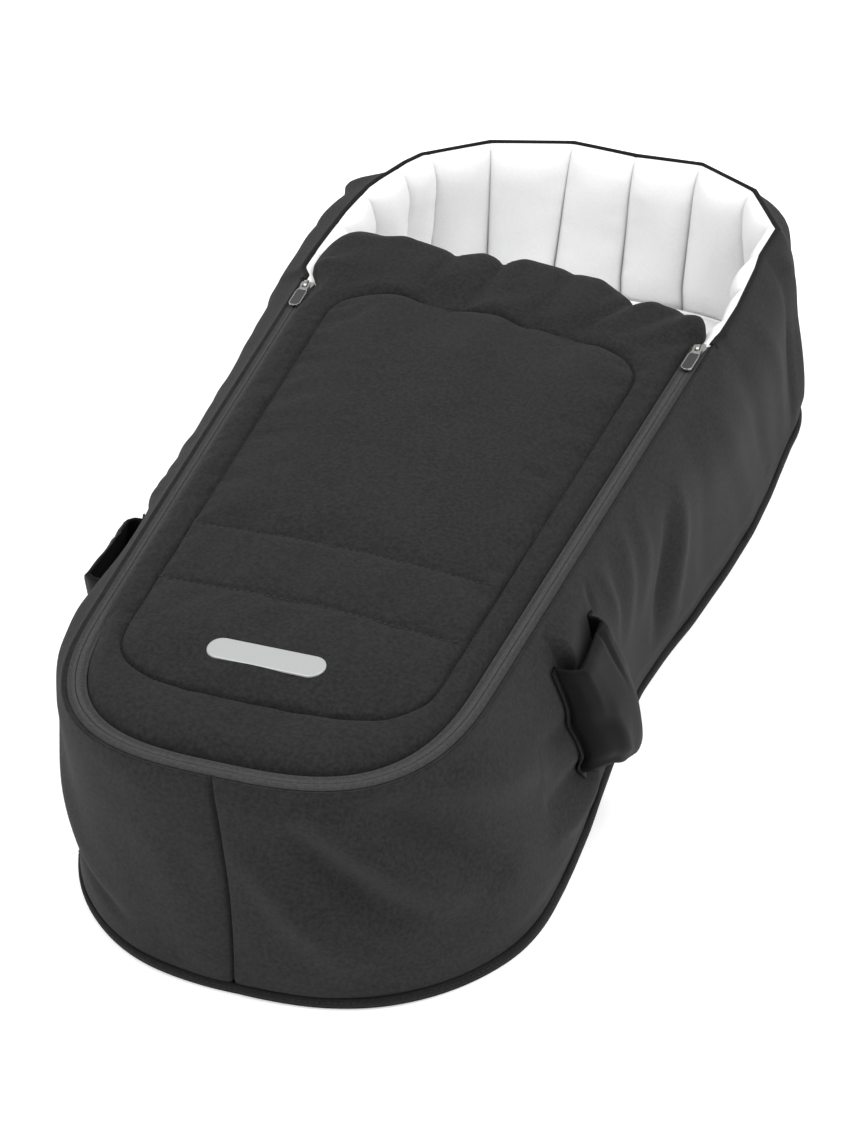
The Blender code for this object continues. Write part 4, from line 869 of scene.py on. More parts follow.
# Mattress: a foam pad in a white cotton cover with a corded seam round its top edge. It lies on the
# floor of the liner and is a little crowned.
MATTRESS_BOTTOM = 0.0071
MATTRESS_TOP = 0.0451
MATTRESS_INSET = 0.0168
MATTRESS_CROWN = 0.005
MATTRESS_EDGE = 0.0055
MATTRESS_HEAD_RISE = 0.0065
PIPING = 0.0013
PIPING_INSET = 0.0016
PIPING_DROP = 0.0010

mattress_ring = wall_ring(MATTRESS_TOP, -MATTRESS_INSET)
mattress_profile = [(share, MATTRESS_BOTTOM, -MATTRESS_EDGE) for share in (1.0, 0.8, 0.6, 0.4, 0.2, 0.08)]
for turn in np.linspace(-90, 90, 17):
    corner = math.radians(turn)
    out = -MATTRESS_EDGE + MATTRESS_EDGE * math.cos(corner) ** 0.8
    rise = keep_sign(math.sin(corner), 0.55)
    mattress_profile.append((0.0, mix(MATTRESS_BOTTOM, MATTRESS_TOP, (1 + rise) / 2), out))
top_shares = np.concatenate([np.linspace(0.03, 0.3, 10), np.linspace(0.36, 1.0, 14)])
mattress_profile += [(share, MATTRESS_TOP, -MATTRESS_EDGE) for share in top_shares]


def mattress_tilt(y):
    """How far the mattress rises toward the head."""
    return MATTRESS_HEAD_RISE * ease((y - 0.12) / 0.2)


def mattress_crown(flat, share, height):
    """The top's crown and the cover's soft creases."""
    tilt = mattress_tilt(flat[:, 1]) * (height - MATTRESS_BOTTOM) / (MATTRESS_TOP - MATTRESS_BOTTOM)
    if height < MATTRESS_TOP - 1e-6:
        return tilt
    soft = soft_noise(flat[:, 0] * 11.0, flat[:, 1] * 8.0, 5.0)
    full = math.sqrt(1 - (1 - min(share / 0.5, 1)) ** 2)
    return tilt + MATTRESS_CROWN * full + 0.0012 * soft * full


mattress = filled_piece("mattress", mattress_ring, (0.12, 0.13), mattress_profile, WHITE_COTTON,
                        mattress_crown)
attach(mattress, "cot")
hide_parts("mattress_foam", "mattress_cover")


def closed_cord(name, line, radius, finish, sides=8):
    """A round cord along a closed line of points."""
    way = np.roll(line, -1, axis=0) - np.roll(line, 1, axis=0)
    way /= np.linalg.norm(way, axis=1)[:, None]
    side = np.cross(way, (0.0, 0.0, 1.0))
    side /= np.linalg.norm(side, axis=1)[:, None]
    rise = np.cross(side, way)
    turns = 2 * np.pi * np.arange(sides) / sides
    round_way = np.cos(turns)[None, :, None] * side[:, None] + np.sin(turns)[None, :, None] * rise[:, None]
    points = (line[:, None] + radius * round_way).reshape(-1, 3)
    index = np.arange(len(points)).reshape(-1, sides)
    faces = ring_faces(np.vstack([index, index[:1]]))
    lengths = lengths_along(line)
    uv = np.stack([np.repeat(lengths, sides), np.tile(turns * radius, len(line))], axis=1)
    piece = show(name, points, np.concatenate(faces), finish, uv)
    point_out(piece)
    return piece


piping_line = mattress_ring.copy()
piping_line[:, :2] -= outward(mattress_ring[:, :2]) * PIPING_INSET
piping_line[:, 2] = MATTRESS_TOP - PIPING_DROP + mattress_tilt(piping_line[:, 1])
mattress_piping = closed_cord("mattress_piping", piping_line, PIPING, WHITE_COTTON)
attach(mattress_piping, "cot")

# Zip: two woven tapes with fine cross ribs, each with a nylon coil under the edge that meets the other.
# The outer tape is sewn to the wall's top seam, and the inner one to the apron. A stop ends each side.
TAPE_TOP = 0.1689
TAPE_CLOTH = 0.0007
# Each tape: how far inside the top seam its two edges lie, and how far round from the foot's middle it ends
TAPE_OUTER = (0.0015, 0.0064)
TAPE_INNER = (0.0066, 0.0134)
OUTER_TAPE_END = 0.5945
INNER_TAPE_END = 0.5900
RIB_PITCH = 0.0013
RIB_SIZE = (0.0009, 0.0046, 0.00075)
RIB_RISE = 0.00008
COIL_SIZE = (0.00085, 0.0018, 0.0021)
COIL_DROP = 0.0017
ZIP_TAPE = woven("zip tape", (0.035, 0.035, 0.036), (0.060, 0.060, 0.062), 0.0006, 0.00010, 0.7, 0.05)
ZIP_NYLON = polished("zip nylon", (0.10, 0.10, 0.102), 0.42, 900.0, (0.35, 0.5))


def seam_ring(inset, height):
    """Points all round the top seam, this far inside it."""
    ring = TOP_RING - outward(TOP_RING) * inset
    return np.column_stack([ring, np.full(RING_COUNT, height)])


def round_foot(ring, reach):
    """The part of a ring within reach of the foot's middle, from left to right."""
    return ring[foot_columns(reach)]


def zip_tape(name, insets, reach, coil_edge):
    """A tape that lies level, with its coil edge a little raised over the coil and turned down."""
    rows_top, rows_bottom = [], []
    for share in (0.0, 0.05, 0.12, 0.3, 0.5, 0.65, 0.78, 0.88, 0.95, 1.0):
        inset = mix(insets[0], insets[1], share)
        to_coil = share if coil_edge else 1 - share
        rise = 0.00035 * ease((to_coil - 0.5) / 0.2) - 0.0004 * max(0.0, (to_coil - 0.93) / 0.07) ** 2
        rise -= 0.0020 * max(0.0, (0.13 - to_coil) / 0.13) ** 1.5
        rows_top.append(round_foot(seam_ring(inset, TAPE_TOP + rise), reach))
        rows_bottom.append(round_foot(seam_ring(inset, TAPE_TOP + rise - TAPE_CLOTH), reach))
    top, bottom = np.array(rows_top), np.array(rows_bottom)
    along = round_foot(np.column_stack([ALONG, ALONG]), reach)[:, 0]
    uv = np.stack([np.broadcast_to(along, top.shape[:2]),
                   np.broadcast_to(np.linspace(0, 0.0065, len(top))[:, None], top.shape[:2])], axis=2)
    return layered_piece(name, top, bottom, ZIP_TAPE, uv=uv)


outer_tape = zip_tape("zip_tape_outer", TAPE_OUTER, OUTER_TAPE_END, True)
inner_tape = zip_tape("zip_tape_inner", TAPE_INNER, INNER_TAPE_END, False)


def zip_row(name, inset, rise, reach, size, finish):
    """A row of ribs or links along the zip, this far inside the top seam."""
    line = round_foot(seam_ring(inset, TAPE_TOP + rise), reach)
    return row_along(name, [line], RIB_PITCH, size, finish)


outer_ribs = zip_row("zip_ribs_outer", 0.0041, RIB_RISE, OUTER_TAPE_END, RIB_SIZE, ZIP_TAPE)
inner_ribs = zip_row("zip_ribs_inner", 0.0095, RIB_RISE, INNER_TAPE_END, RIB_SIZE, ZIP_TAPE)
outer_coil = zip_row("zip_coil_outer", 0.0055, -COIL_DROP, OUTER_TAPE_END, COIL_SIZE, ZIP_NYLON)
inner_coil = zip_row("zip_coil_inner", 0.0075, -COIL_DROP, INNER_TAPE_END, COIL_SIZE, ZIP_NYLON)
for tape, ribs, coil, tape_node, coil_node, body in (
        (outer_tape, outer_ribs, outer_coil, "zip_tape_body", "zip_coil_body", "cot"),
        (inner_tape, inner_ribs, inner_coil, "zip_tape_apron", "zip_coil_apron", "apron")):
    for piece, slot_name in ((tape, "zip_tape"), (ribs, "zip_tape"), (coil, "zip_coil")):
        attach(piece, body)
    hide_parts(tape_node)
    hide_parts(coil_node)

# Sliders and pull tabs: die-cast and nickel plated. A slider has two plates, an arched bridge over
# them and a thin post between. The tab hangs on the bridge by its eye, and its face is painted dark.
NICKEL = polished("nickel", (0.38, 0.37, 0.36), 0.22, 700.0, (0.16, 0.38), 4.0, Metallic=1.0)
TAB_PAINT = polished("dark tab paint", (0.014, 0.014, 0.015), 0.32, 500.0, (0.25, 0.42), 3.0)
SLIDER_PLACE = (0.13686, 0.11188, 0.16745)
SLIDER_TURN = -0.05828
PLATE_RISE = 0.00255
PLATE_HALF = 0.0006
TAB_AXIS_Z = 0.1719
TAB_LENGTH = 0.0300
TAB_WIDTH = 0.0078
TAB_NECK = 0.0058
TAB_EYE = (0.0032, 0.0052)
TAB_RIM = 0.0007
TAB_HALF = 0.0006
RECESS_START = 0.0085


def within(points, line):
    """Which points lie inside a closed line."""
    hit = np.zeros(len(points), bool)
    after = np.roll(line, -1, axis=0)
    for (ax, ay), (bx, by) in zip(line, after):
        if ay == by:
            continue
        crosses = (ay > points[:, 1]) != (by > points[:, 1])
        hit ^= crosses & (points[:, 0] < (bx - ax) * (points[:, 1] - ay) / (by - ay) + ax)
    return hit


def cut_flat(lines, inner=()):
    """Triangles inside the first closed line and outside the rest, on the level, through inner points."""
    edges, start = [], 0
    for line in lines:
        edges += [(start + k, start + (k + 1) % len(line)) for k in range(len(line))]
        start += len(line)
    flat = [Vector(p) for part in (*lines, inner) for p in part]
    found = delaunay_2d_cdt(flat, edges, [], 1, 1e-7)
    points = np.array([tuple(p) for p in found[0]])
    triangles = np.array([tuple(t) for t in found[2]])
    middles = points[triangles].mean(axis=1)
    kept = within(middles, lines[0])
    for hole in lines[1:]:
        kept &= ~within(middles, hole)
    return points, triangles[kept]


def between_heights(points, triangles, bottom, top):
    """Points and faces of a closed shape over a level cut, between two heights."""
    count = len(points)
    uses = {}
    for a, b, c in triangles:
        for first, second in ((a, b), (b, c), (c, a)):
            uses.setdefault((min(first, second), max(first, second)), []).append((first, second))
    edges = [pairs[0] for pairs in uses.values() if len(pairs) == 1]
    faces = [tuple(t) for t in triangles] + [tuple(t[::-1] + count) for t in triangles]
    faces += [(second, first, first + count, second + count) for first, second in edges]
    layers = [np.column_stack([points, np.broadcast_to(height, count)]) for height in (top, bottom)]
    return np.vstack(layers), faces


def cut_plate(outer, holes, bottom, top):
    """Points and faces of a level plate with holes through it."""
    return between_heights(*cut_flat([outer, *holes]), bottom, top)


def joined(*shapes):
    """Several closed shapes as one list of points and one of faces."""
    points, faces = [], []
    for some_points, some_faces in shapes:
        faces += [tuple(k + len(points) for k in face) for face in some_faces]
        points += list(some_points)
    return points, faces


def metal_piece(name, shape, side, height, finish, bevel):
    """Sets a small metal shape at the slider's place, turned along the zip, with soft edges."""
    turn = Matrix.Rotation(side * SLIDER_TURN, 4, "Z")
    place = Matrix.Translation((side * SLIDER_PLACE[0], SLIDER_PLACE[1], height))
    points = [place @ turn @ Vector(p) for p in shape[0]]
    piece = show(name, points, shape[1], finish, sharp=50)
    point_out(piece)
    if bevel:
        soft = piece.modifiers.new("soft edges", "BEVEL")
        soft.width = bevel
        soft.segments = 2
        soft.limit_method = "ANGLE"
        soft.angle_limit = math.radians(40)
    return piece


def tab_edge(inset, start, eye=False):
    """Outline of the tab toward the foot, from its eye end or from a start, this far inside its edge."""
    half_neck, half_wide = TAB_NECK / 2 - inset, TAB_WIDTH / 2 - inset
    round_start = TAB_LENGTH - TAB_WIDTH / 2
    points = [(half_neck, TAB_RIM)] if eye else []
    points += [(mix(half_neck, half_wide, float(ease((d - 0.006) / 0.006))), -d)
               for d in np.linspace(start, 0.0125, 5)]
    for step in range(13):
        turn = math.pi * step / 12
        points.append((half_wide * math.cos(turn), -round_start - half_wide * math.sin(turn)))
    points += [(-x, y) for x, y in points[:5 + bool(eye)][::-1]]
    return points


def plate_outline():
    """Plan of a slider's plate: wide at its mouth, and drawn in toward its nose."""
    right = [(0.0, 0.0060), (0.0030, 0.0060), (0.0043, 0.0052), (0.0046, 0.0035), (0.0044, 0.0005),
             (0.0036, -0.0025), (0.0033, -0.0048), (0.0024, -0.0060), (0.0, -0.0060)]
    return right + [(-x, y) for x, y in right[-2:0:-1]]


def arched_bar(width, thickness, reach, rise, base):
    """A flat bar that arches along the slider."""
    rows = []
    for turn in np.linspace(0, math.pi, 13):
        y = reach * math.cos(turn) * (1 - 0.12 * math.sin(turn))
        z = base + rise * math.sin(turn) ** 0.7
        away = np.array([math.cos(turn), math.sin(turn)])
        inner = (y - away[0] * thickness, z - away[1] * thickness)
        rows.append([(-width / 2, y, z), (width / 2, y, z), (width / 2, *inner), (-width / 2, *inner)])
    points = [p for row in rows for p in row]
    faces = []
    for k in range(len(rows) - 1):
        for j in range(4):
            faces.append((4 * k + j, 4 * k + (j + 1) % 4, 4 * k + 4 + (j + 1) % 4, 4 * k + 4 + j))
    faces += [(3, 2, 1, 0), tuple(4 * (len(rows) - 1) + j for j in range(4))]
    return points, faces


eye_half = (TAB_EYE[0] / 2, TAB_EYE[1] / 2)
eye_middle = -(TAB_RIM + TAB_EYE[1]) / 2
eye_hole = [(eye_half[0] * keep_sign(math.cos(t), 0.5),
             eye_middle + eye_half[1] * keep_sign(math.sin(t), 0.5))
            for t in np.linspace(0, 2 * math.pi, 16, endpoint=False)]
for hand, side in (("right", 1), ("left", -1)):
    upper = cut_plate(plate_outline(), [], PLATE_RISE - PLATE_HALF, PLATE_RISE + PLATE_HALF)
    lower = cut_plate(plate_outline(), [], -PLATE_RISE - PLATE_HALF, -PLATE_RISE + PLATE_HALF)
    post = cut_plate([(-0.0001, 0.0018), (0.0001, 0.0018), (0.0001, 0.0048), (-0.0001, 0.0048)], [],
                     -PLATE_RISE, PLATE_RISE)
    bridge = arched_bar(0.0019, 0.0009, 0.0036, 0.0036, PLATE_RISE + 0.0004)
    slider = metal_piece(f"slider_body_{hand}", joined(upper, lower, post, bridge), side, SLIDER_PLACE[2],
                         NICKEL, 0.00025)
    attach(slider, f"{hand}_slider")
    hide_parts(f"slider_{hand}")
    plate = cut_plate(tab_edge(0, 0.002, True), [eye_hole], -TAB_HALF, TAB_HALF - 0.0003)
    raised = cut_plate(tab_edge(0, 0.002, True), [eye_hole, tab_edge(TAB_RIM, RECESS_START)],
                       TAB_HALF - 0.0004, TAB_HALF)
    tab = metal_piece(f"tab_{hand}", joined(plate, raised), side, TAB_AXIS_Z, NICKEL, 0.00015)
    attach(tab, f"{hand}_tab")
    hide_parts(f"pull_tab_{hand}")
    recess = tab_edge(TAB_RIM + 0.00005, RECESS_START + 0.00005)
    paint = cut_plate(recess, [], TAB_HALF - 0.00035, TAB_HALF - 0.00012)
    face = metal_piece(f"tab_face_{hand}", paint, side, TAB_AXIS_Z, TAB_PAINT, 0)
    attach(face, f"{hand}_tab")
for hand in ("right", "left"):
    stop_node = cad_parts[f"zip_stop_{hand}"]
    stop_node.data.materials.clear()
    stop_node.data.materials.append(NICKEL)

# Apron: two layers of charcoal cloth over wadding, with a white lining underneath. A raised panel is
# topstitched on a wide border, two lines of stitching cross it, and the head edge is gathered.
PANEL_HALF = (0.090, 0.111)
PANEL_ENDS = (-0.3355, 0.1025)
PANEL_CAP = 0.056
PANEL_POWER = 3.4
STITCH_LINES = (-0.2475, -0.1895)
APRON_BOTTOM = 0.1652
APRON_EDGE_Z = 0.1668
BORDER_Z = 0.1768
GROOVE_Z = 0.1738
PANEL_Z = 0.1788
PANEL_CROWN = 0.0030
APRON_LAP = 0.0024
LAP_RISE = 0.0055
LAP_UNDER = 0.0060
HEAD_RISE = 0.0020
BORDER_RUN = 0.012
HEAD_RUN = 0.004
GROOVE_RUN = 0.010
PANEL_RUN = 0.016
# Each line of stitching presses the cloth down twice: deep and narrow, then shallow and wide
STITCH_DIPS = ((0.0014, 0.0018), (0.0008, 0.0090))
SEAM_NICK = 0.0012
SEAM_NICK_WIDTH = 0.0009
APRON_SOFT = 0.0016
APRON_FINE = 0.0005
SEAM_PUCKER = 0.0011
EDGE_PUCKER = 0.0016
APRON_MESH = 0.0040
SWELL_FRAMES = 18


def smooth_closed(points, count, rounds=2):
    """A closed line through some points, with rounded corners and even steps."""
    line = np.asarray(points, float)
    for _ in range(rounds):
        after = np.roll(line, -1, axis=0)
        line = np.stack([line * 0.75 + after * 0.25, line * 0.25 + after * 0.75], axis=1).reshape(-1, 2)
    closed = np.vstack([line, line[:1]])
    lengths = lengths_along(closed)
    even = np.linspace(0, lengths[-1], count, endpoint=False)
    return np.stack([np.interp(even, lengths, closed[:, k]) for k in (0, 1)], axis=1)


def left_lap(x, y):
    """How far the apron's soft left edge hangs out over the zip."""
    return APRON_LAP * ease((y + 0.306) / 0.045) * ease((0.105 - y) / 0.030) * (x < 0)


def side_line(lap):
    """The apron's edge beside the zip, from left to right, hanging out on the left by a share of its lap."""
    inset = 0.0131 - lap * left_lap(*TOP_RING.T)
    return round_foot(TOP_RING - outward(TOP_RING) * inset[:, None], 0.578)[::4]


HEAD_EDGE = MM * np.array((
    (130.8, 112), (131.2, 121), (134.2, 125.5), (137.2, 133), (134.5, 144), (128, 151), (118, 154.5),
    (106, 155.5), (95, 155.5), (86, 153.5), (79, 159), (68, 168.5), (52, 177), (35, 183.5), (20, 187.5),
    (8, 189), (-4, 186.5), (-15, 182.5), (-25, 186.2), (-38, 186.8), (-50, 184), (-64, 188), (-83, 191.5),
    (-103, 195.5), (-122, 196.5), (-134.5, 188.5), (-141.5, 171.5), (-143, 151), (-142, 135), (-134.5, 125),
    (-130.8, 115),
))
apron_outline = smooth_closed(np.vstack([side_line(1), HEAD_EDGE]), 520)
sewn_outline = smooth_closed(np.vstack([side_line(0), HEAD_EDGE]), 520)


def panel_outline():
    """The panel's seam: rounded corners, and a head edge that runs askew, nearer the head on the left."""
    turns = np.linspace(0, 2 * np.pi, 1441)[:-1]
    points = []
    for turn in turns:
        across = keep_sign(math.sin(turn), 2 / PANEL_POWER)
        along = keep_sign(math.cos(turn), 2 / PANEL_POWER)
        end = PANEL_ENDS[0] + PANEL_CAP if along > 0 else PANEL_ENDS[1] - PANEL_CAP
        y = end - PANEL_CAP * along
        width = mix(PANEL_HALF[0], PANEL_HALF[1], (y - PANEL_ENDS[0]) / (PANEL_ENDS[1] - PANEL_ENDS[0]))
        skew = -0.125 * ease((y + 0.05) / 0.13)
        points.append((width * across, y + skew * width * across))
    return smooth_closed(points, 430, 0)


PANEL_LINE = panel_outline()


def near_line(points, line):
    """Distance of points to a closed line, and how far round it the nearest place is."""
    after = np.roll(line, -1, axis=0)
    way = after - line
    lengths = np.linalg.norm(way, axis=1)
    starts = np.concatenate([[0], np.cumsum(lengths)[:-1]])
    best = np.full(len(points), 9.0)
    place = np.zeros(len(points))
    for k in range(len(line)):
        share = np.clip(((points - line[k]) @ way[k]) / lengths[k] ** 2, 0, 1)
        gap = np.hypot(points[:, 0] - line[k, 0] - share * way[k, 0],
                       points[:, 1] - line[k, 1] - share * way[k, 1])
        closer = gap < best
        best[closer] = gap[closer]
        place[closer] = starts[k] + share[closer] * lengths[k]
    return best, place


def round_up(distance, run):
    """A quarter-round rise over a run, from 0 to 1."""
    return np.sqrt(1 - (1 - np.clip(distance / run, 0, 1)) ** 2)


def inset_line(line, inset):
    return line - outward(line) * inset * np.sign(np.cross(line[10] - line[0], line[20] - line[0]) + 1e-12)


rows_wide = math.sqrt(3) / 2 * APRON_MESH
grid = []
for row, y in enumerate(np.arange(-0.40, 0.21, rows_wide)):
    for x in np.arange(-0.15, 0.15, APRON_MESH):
        grid.append((x + (row % 2) * APRON_MESH / 2, y))
grid = np.array(grid)
stitch_ends = []
for y in STITCH_LINES:
    share = (y - PANEL_ENDS[0]) / (PANEL_ENDS[1] - PANEL_ENDS[0])
    half = mix(PANEL_HALF[0], PANEL_HALF[1], share) - 0.0022
    stitch_ends.append(((-half, y + 0.004), (half - 0.004, y - 0.005)))
stitch_lines = [np.linspace(a, b, 61) for a, b in stitch_ends]
apron_rings = [apron_outline] + [inset_line(apron_outline, d) for d in (0.0010, 0.0024, 0.0044, 0.0070)]
panel_rings = [inset_line(PANEL_LINE, d) for d in (0.0048, 0.0026, 0.0012, -0.0012, -0.0026, -0.0048)]
line_rows = [line + (0, shift) for line in stitch_lines for shift in (-0.0026, -0.0012, 0.0012, 0.0026)]
fixed = np.vstack(apron_rings + [PANEL_LINE] + panel_rings + stitch_lines + line_rows)
keep = within(grid, inset_line(apron_outline, 0.0085))
keep &= near_line(grid, PANEL_LINE)[0] > 0.0065
for line in stitch_lines:
    keep &= ~((np.abs(grid[:, 1] - np.interp(grid[:, 0], line[:, 0], line[:, 1])) < 0.0042)
              & (grid[:, 0] > line[0, 0]) & (grid[:, 0] < line[-1, 0]))


def stuffed_piece(name, points, triangles, top, bottom, finish):
    """A closed piece over a level cut, between two heights at each point."""
    solid, faces = between_heights(points, triangles, bottom, top)
    piece = show(name, solid, faces, finish, np.vstack([points, points]), sharp=60)
    point_out(piece)
    return piece


edge_count = len(apron_outline)
flat_points, apron_triangles = cut_flat([apron_outline], np.vstack([fixed[edge_count:], grid[keep]]))

edge_gap, edge_place = near_line(flat_points, apron_outline)
panel_gap, panel_place = near_line(flat_points, PANEL_LINE)
in_panel = within(flat_points, PANEL_LINE)
x, y = flat_points.T
head_share = ease((y - 0.06) / 0.10)
soft = soft_noise(x * 10.0, y * 7.0, 1.3)
fine = soft_noise(x * 34.0, y * 26.0, 6.1)
seam_wave = soft_noise(panel_place * 62.0, 4.0, in_panel * 9.0)
edge_wave = soft_noise(edge_place * 30.0, 17.0, 0.0)
lap = left_lap(x, y) / APRON_LAP
edge_z = APRON_EDGE_Z + LAP_RISE * lap
border = mix(edge_z, BORDER_Z + HEAD_RISE * head_share,
             round_up(edge_gap, BORDER_RUN + HEAD_RUN * head_share))
border = border - (border - GROOVE_Z) * (1 - round_up(panel_gap, GROOVE_RUN))
panel = GROOVE_Z + (PANEL_Z - GROOVE_Z) * round_up(panel_gap, PANEL_RUN)
panel = panel + PANEL_CROWN * ease(panel_gap / 0.08)
for line in stitch_lines:
    gap = np.abs(y - np.interp(x, line[:, 0], line[:, 1]))
    ends = ease((x - line[0, 0]) / 0.006) * ease((line[-1, 0] - x) / 0.006)
    for depth, width in STITCH_DIPS:
        panel = panel - depth * bell(gap, width) * ends
z = np.where(in_panel, panel, border) - SEAM_NICK * bell(panel_gap, SEAM_NICK_WIDTH)
z = z + APRON_SOFT * soft * ease(edge_gap / 0.03) * round_up(panel_gap, 0.02)
z = z + APRON_FINE * fine * ease(edge_gap / 0.01) * round_up(panel_gap, 0.01)
z = z + SEAM_PUCKER * seam_wave * bell(panel_gap, 0.012) * round_up(panel_gap, 0.003)
z = z + EDGE_PUCKER * edge_wave * head_share * bell(edge_gap, 0.02) * round_up(edge_gap, 0.004)

# Puckers of the head edge and of the panel, in millimetres: where each starts and ends, its width and its
# rise
PUCKERS = MM * np.array((
    (-15.5, 186, -19, 115, 3.6, -4.6), (-2, 188, -6, 118, 7, 2.4), (-30, 188, -33, 120, 7, 2),
    (-50, 185, -56, 128, 5, -2.8), (-90, 192, -95, 135, 9, 1.6), (33, 184, 30, 122, 6, -2.2),
    (56, 176, 50, 112, 8, 2.4), (85.5, 155, 60, 108, 4.2, -4.6), (100, 157, 72, 106, 6, 3),
    (122, 152, 86, 104, 5, -3.6), (132, 140, 100, 98, 6, 3.4), (133, 127, 112, 88, 4.2, -3.4),
    (-133, 135, -120, 85, 6, 1.6), (60, 104, 50, 20, 15, -3.4), (-40, 115, -20, 0, 20, -4),
    (0, 108, 15, -10, 14, 3.6), (25, 100, 35, -40, 16, -2.4), (-72, 110, -62, 0, 18, 3.4),
))
beside_seam = np.where(panel_gap < 0.02, round_up(panel_gap, 0.008), 1.0)
for pucker in PUCKERS:
    width, rise = pucker[4:]
    gap, inside = near_segment(x, y, pucker[:2], pucker[2:4])
    z = z + rise * bell(gap, width) * (1 - 0.8 * inside) * round_up(edge_gap, 0.004) * beside_seam
at_edge = np.arange(edge_count)
z[at_edge] = edge_z[at_edge]
underside = APRON_BOTTOM + LAP_UNDER * lap * (1 - ease(edge_gap / 0.0050))


def swell(piece, sewn, pressure, slack, most):
    """Lets the filling press the cloth out between its seams, and keeps each point near its place."""
    before = np.array([v.co for v in piece.data.vertices])
    holder = piece.vertex_groups.new(name="sewn")
    holder.add([int(k) for k in sewn], 1.0, "REPLACE")
    cloth = piece.modifiers.new("swell", "CLOTH")
    cloth.settings.quality = 6
    cloth.settings.mass = 0.2
    cloth.settings.tension_stiffness = 20
    cloth.settings.compression_stiffness = 20
    cloth.settings.shear_stiffness = 6
    cloth.settings.bending_stiffness = 5.0
    cloth.settings.use_pressure = True
    cloth.settings.uniform_pressure_force = pressure
    cloth.settings.vertex_group_mass = "sewn"
    cloth.settings.shrink_min = -slack
    cloth.settings.effector_weights.gravity = 0
    cloth.collision_settings.use_collision = False
    cloth.point_cache.frame_start = 1
    cloth.point_cache.frame_end = SWELL_FRAMES
    for number in range(1, SWELL_FRAMES + 1):
        bpy.context.scene.frame_set(number)
    swollen = piece.evaluated_get(bpy.context.evaluated_depsgraph_get())
    after = np.array([v.co for v in swollen.to_mesh().vertices])
    swollen.to_mesh_clear()
    piece.modifiers.remove(cloth)
    piece.vertex_groups.remove(holder)
    bpy.context.scene.frame_set(1)
    step = after - before
    size = np.linalg.norm(step, axis=1)
    step *= (most * np.tanh(size / most) / np.maximum(size, 1e-9))[:, None]
    piece.data.vertices.foreach_set("co", (before + step).ravel())
    piece.data.update()
    return before + step


apron = stuffed_piece("apron_cover", flat_points, apron_triangles, z, underside, CHARCOAL)
spots = np.array([v.co for v in apron.data.vertices])
seam_gap = np.minimum(near_line(spots[:, :2], PANEL_LINE)[0], near_line(spots[:, :2], apron_outline)[0])
for line in stitch_lines:
    run = np.abs(spots[:, 1] - np.interp(spots[:, 0], line[:, 0], line[:, 1]))
    seam_gap = np.minimum(seam_gap, np.where((spots[:, 0] > line[0, 0]) & (spots[:, 0] < line[-1, 0]),
                                             run, 9.0))
sewn = np.where((np.arange(len(spots)) >= len(flat_points)) | (seam_gap < 0.0006))[0]
swell(apron, sewn, 2.0, 0.006, 0.0030)
apron_tree = BVHTree.FromPolygons([v.co for v in apron.data.vertices],
                                  [tuple(p.vertices) for p in apron.data.polygons])


def on_apron(points, above):
    """Sets level points on the apron's top, a little above the cloth."""
    placed = []
    for px, py in points:
        hit = apron_tree.ray_cast(Vector((px, py, 0.3)), Vector((0, 0, -1)))[0]
        placed.append((px, py, (hit.z if hit else GROOVE_Z) + above))
    return np.array(placed)


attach(apron, "apron")
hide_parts("apron_border", "apron_panel", "apron_wadding")
panel_seam = on_apron(np.vstack([PANEL_LINE, PANEL_LINE[:1]]), 0.0001)
panel_stitches = row_along("panel_stitches", [panel_seam], 0.0036, (0.0027, 0.0012, 0.0008), BLACK_THREAD)
line_stitches = row_along("cross_stitches", [on_apron(line, 0.0001) for line in stitch_lines], 0.0042,
                          (0.0030, 0.0016, 0.0010), BLACK_THREAD)
for piece in (panel_stitches, line_stitches):
    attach(piece, "apron")

LINING_TOP = 0.1648
LINING_BOTTOM = 0.1640
lining_outline = inset_line(sewn_outline, 0.0016)[::2]
lining_rows = [PANEL_LINE[::2]] + [inset_line(PANEL_LINE, d)[::2] for d in (0.003, -0.003)]
lining_keep = within(grid, inset_line(sewn_outline, 0.0060)) & (near_line(grid, PANEL_LINE)[0] > 0.0060)
lining_keep &= (np.arange(len(grid)) % 2 == 0)
lining_points, lining_triangles = cut_flat([lining_outline], np.vstack(lining_rows + [grid[lining_keep]]))
lining_from_edge = near_line(lining_points, lining_outline)[0]
lining_from_seam = near_line(lining_points, PANEL_LINE)[0]
lining_soft = soft_noise(lining_points[:, 0] * 13.0, lining_points[:, 1] * 11.0, 30.0)
lining_sag = 0.0024 * round_up(lining_from_seam, 0.014) * round_up(lining_from_edge - 0.012, 0.02)
lining_sag = lining_sag + 0.0008 * np.abs(lining_soft) * ease((lining_from_edge - 0.012) / 0.02)
lining = stuffed_piece("apron_underside", lining_points, lining_triangles, LINING_TOP - lining_sag,
                       LINING_BOTTOM - lining_sag, WHITE_COTTON)
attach(lining, "apron")
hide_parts("apron_lining")

# Badge: a blank silver reflective pill with soft edges, stuck on the foot end of the panel. It follows
# the crown of the cloth.
BADGE_LENGTH = 0.069
BADGE_WIDTH = 0.0168
BADGE_Y = -0.3045
BADGE_X = -0.0035
PILL_STEPS = 24
SILVER = grained("reflective silver", (0.40, 0.41, 0.41), 2600.0, 0.00004, 0.42, Metallic=0.25)


def pill(inset):
    """The badge's outline, this far inside its edge."""
    radius = BADGE_WIDTH / 2 - inset
    straight = BADGE_LENGTH / 2 - BADGE_WIDTH / 2
    points = []
    for end in (1, -1):
        for turn in np.linspace(-np.pi / 2, np.pi / 2, PILL_STEPS):
            reach = straight + radius * math.cos(turn)
            points.append((BADGE_X + end * reach, BADGE_Y + end * radius * math.sin(turn)))
    return np.array(points)


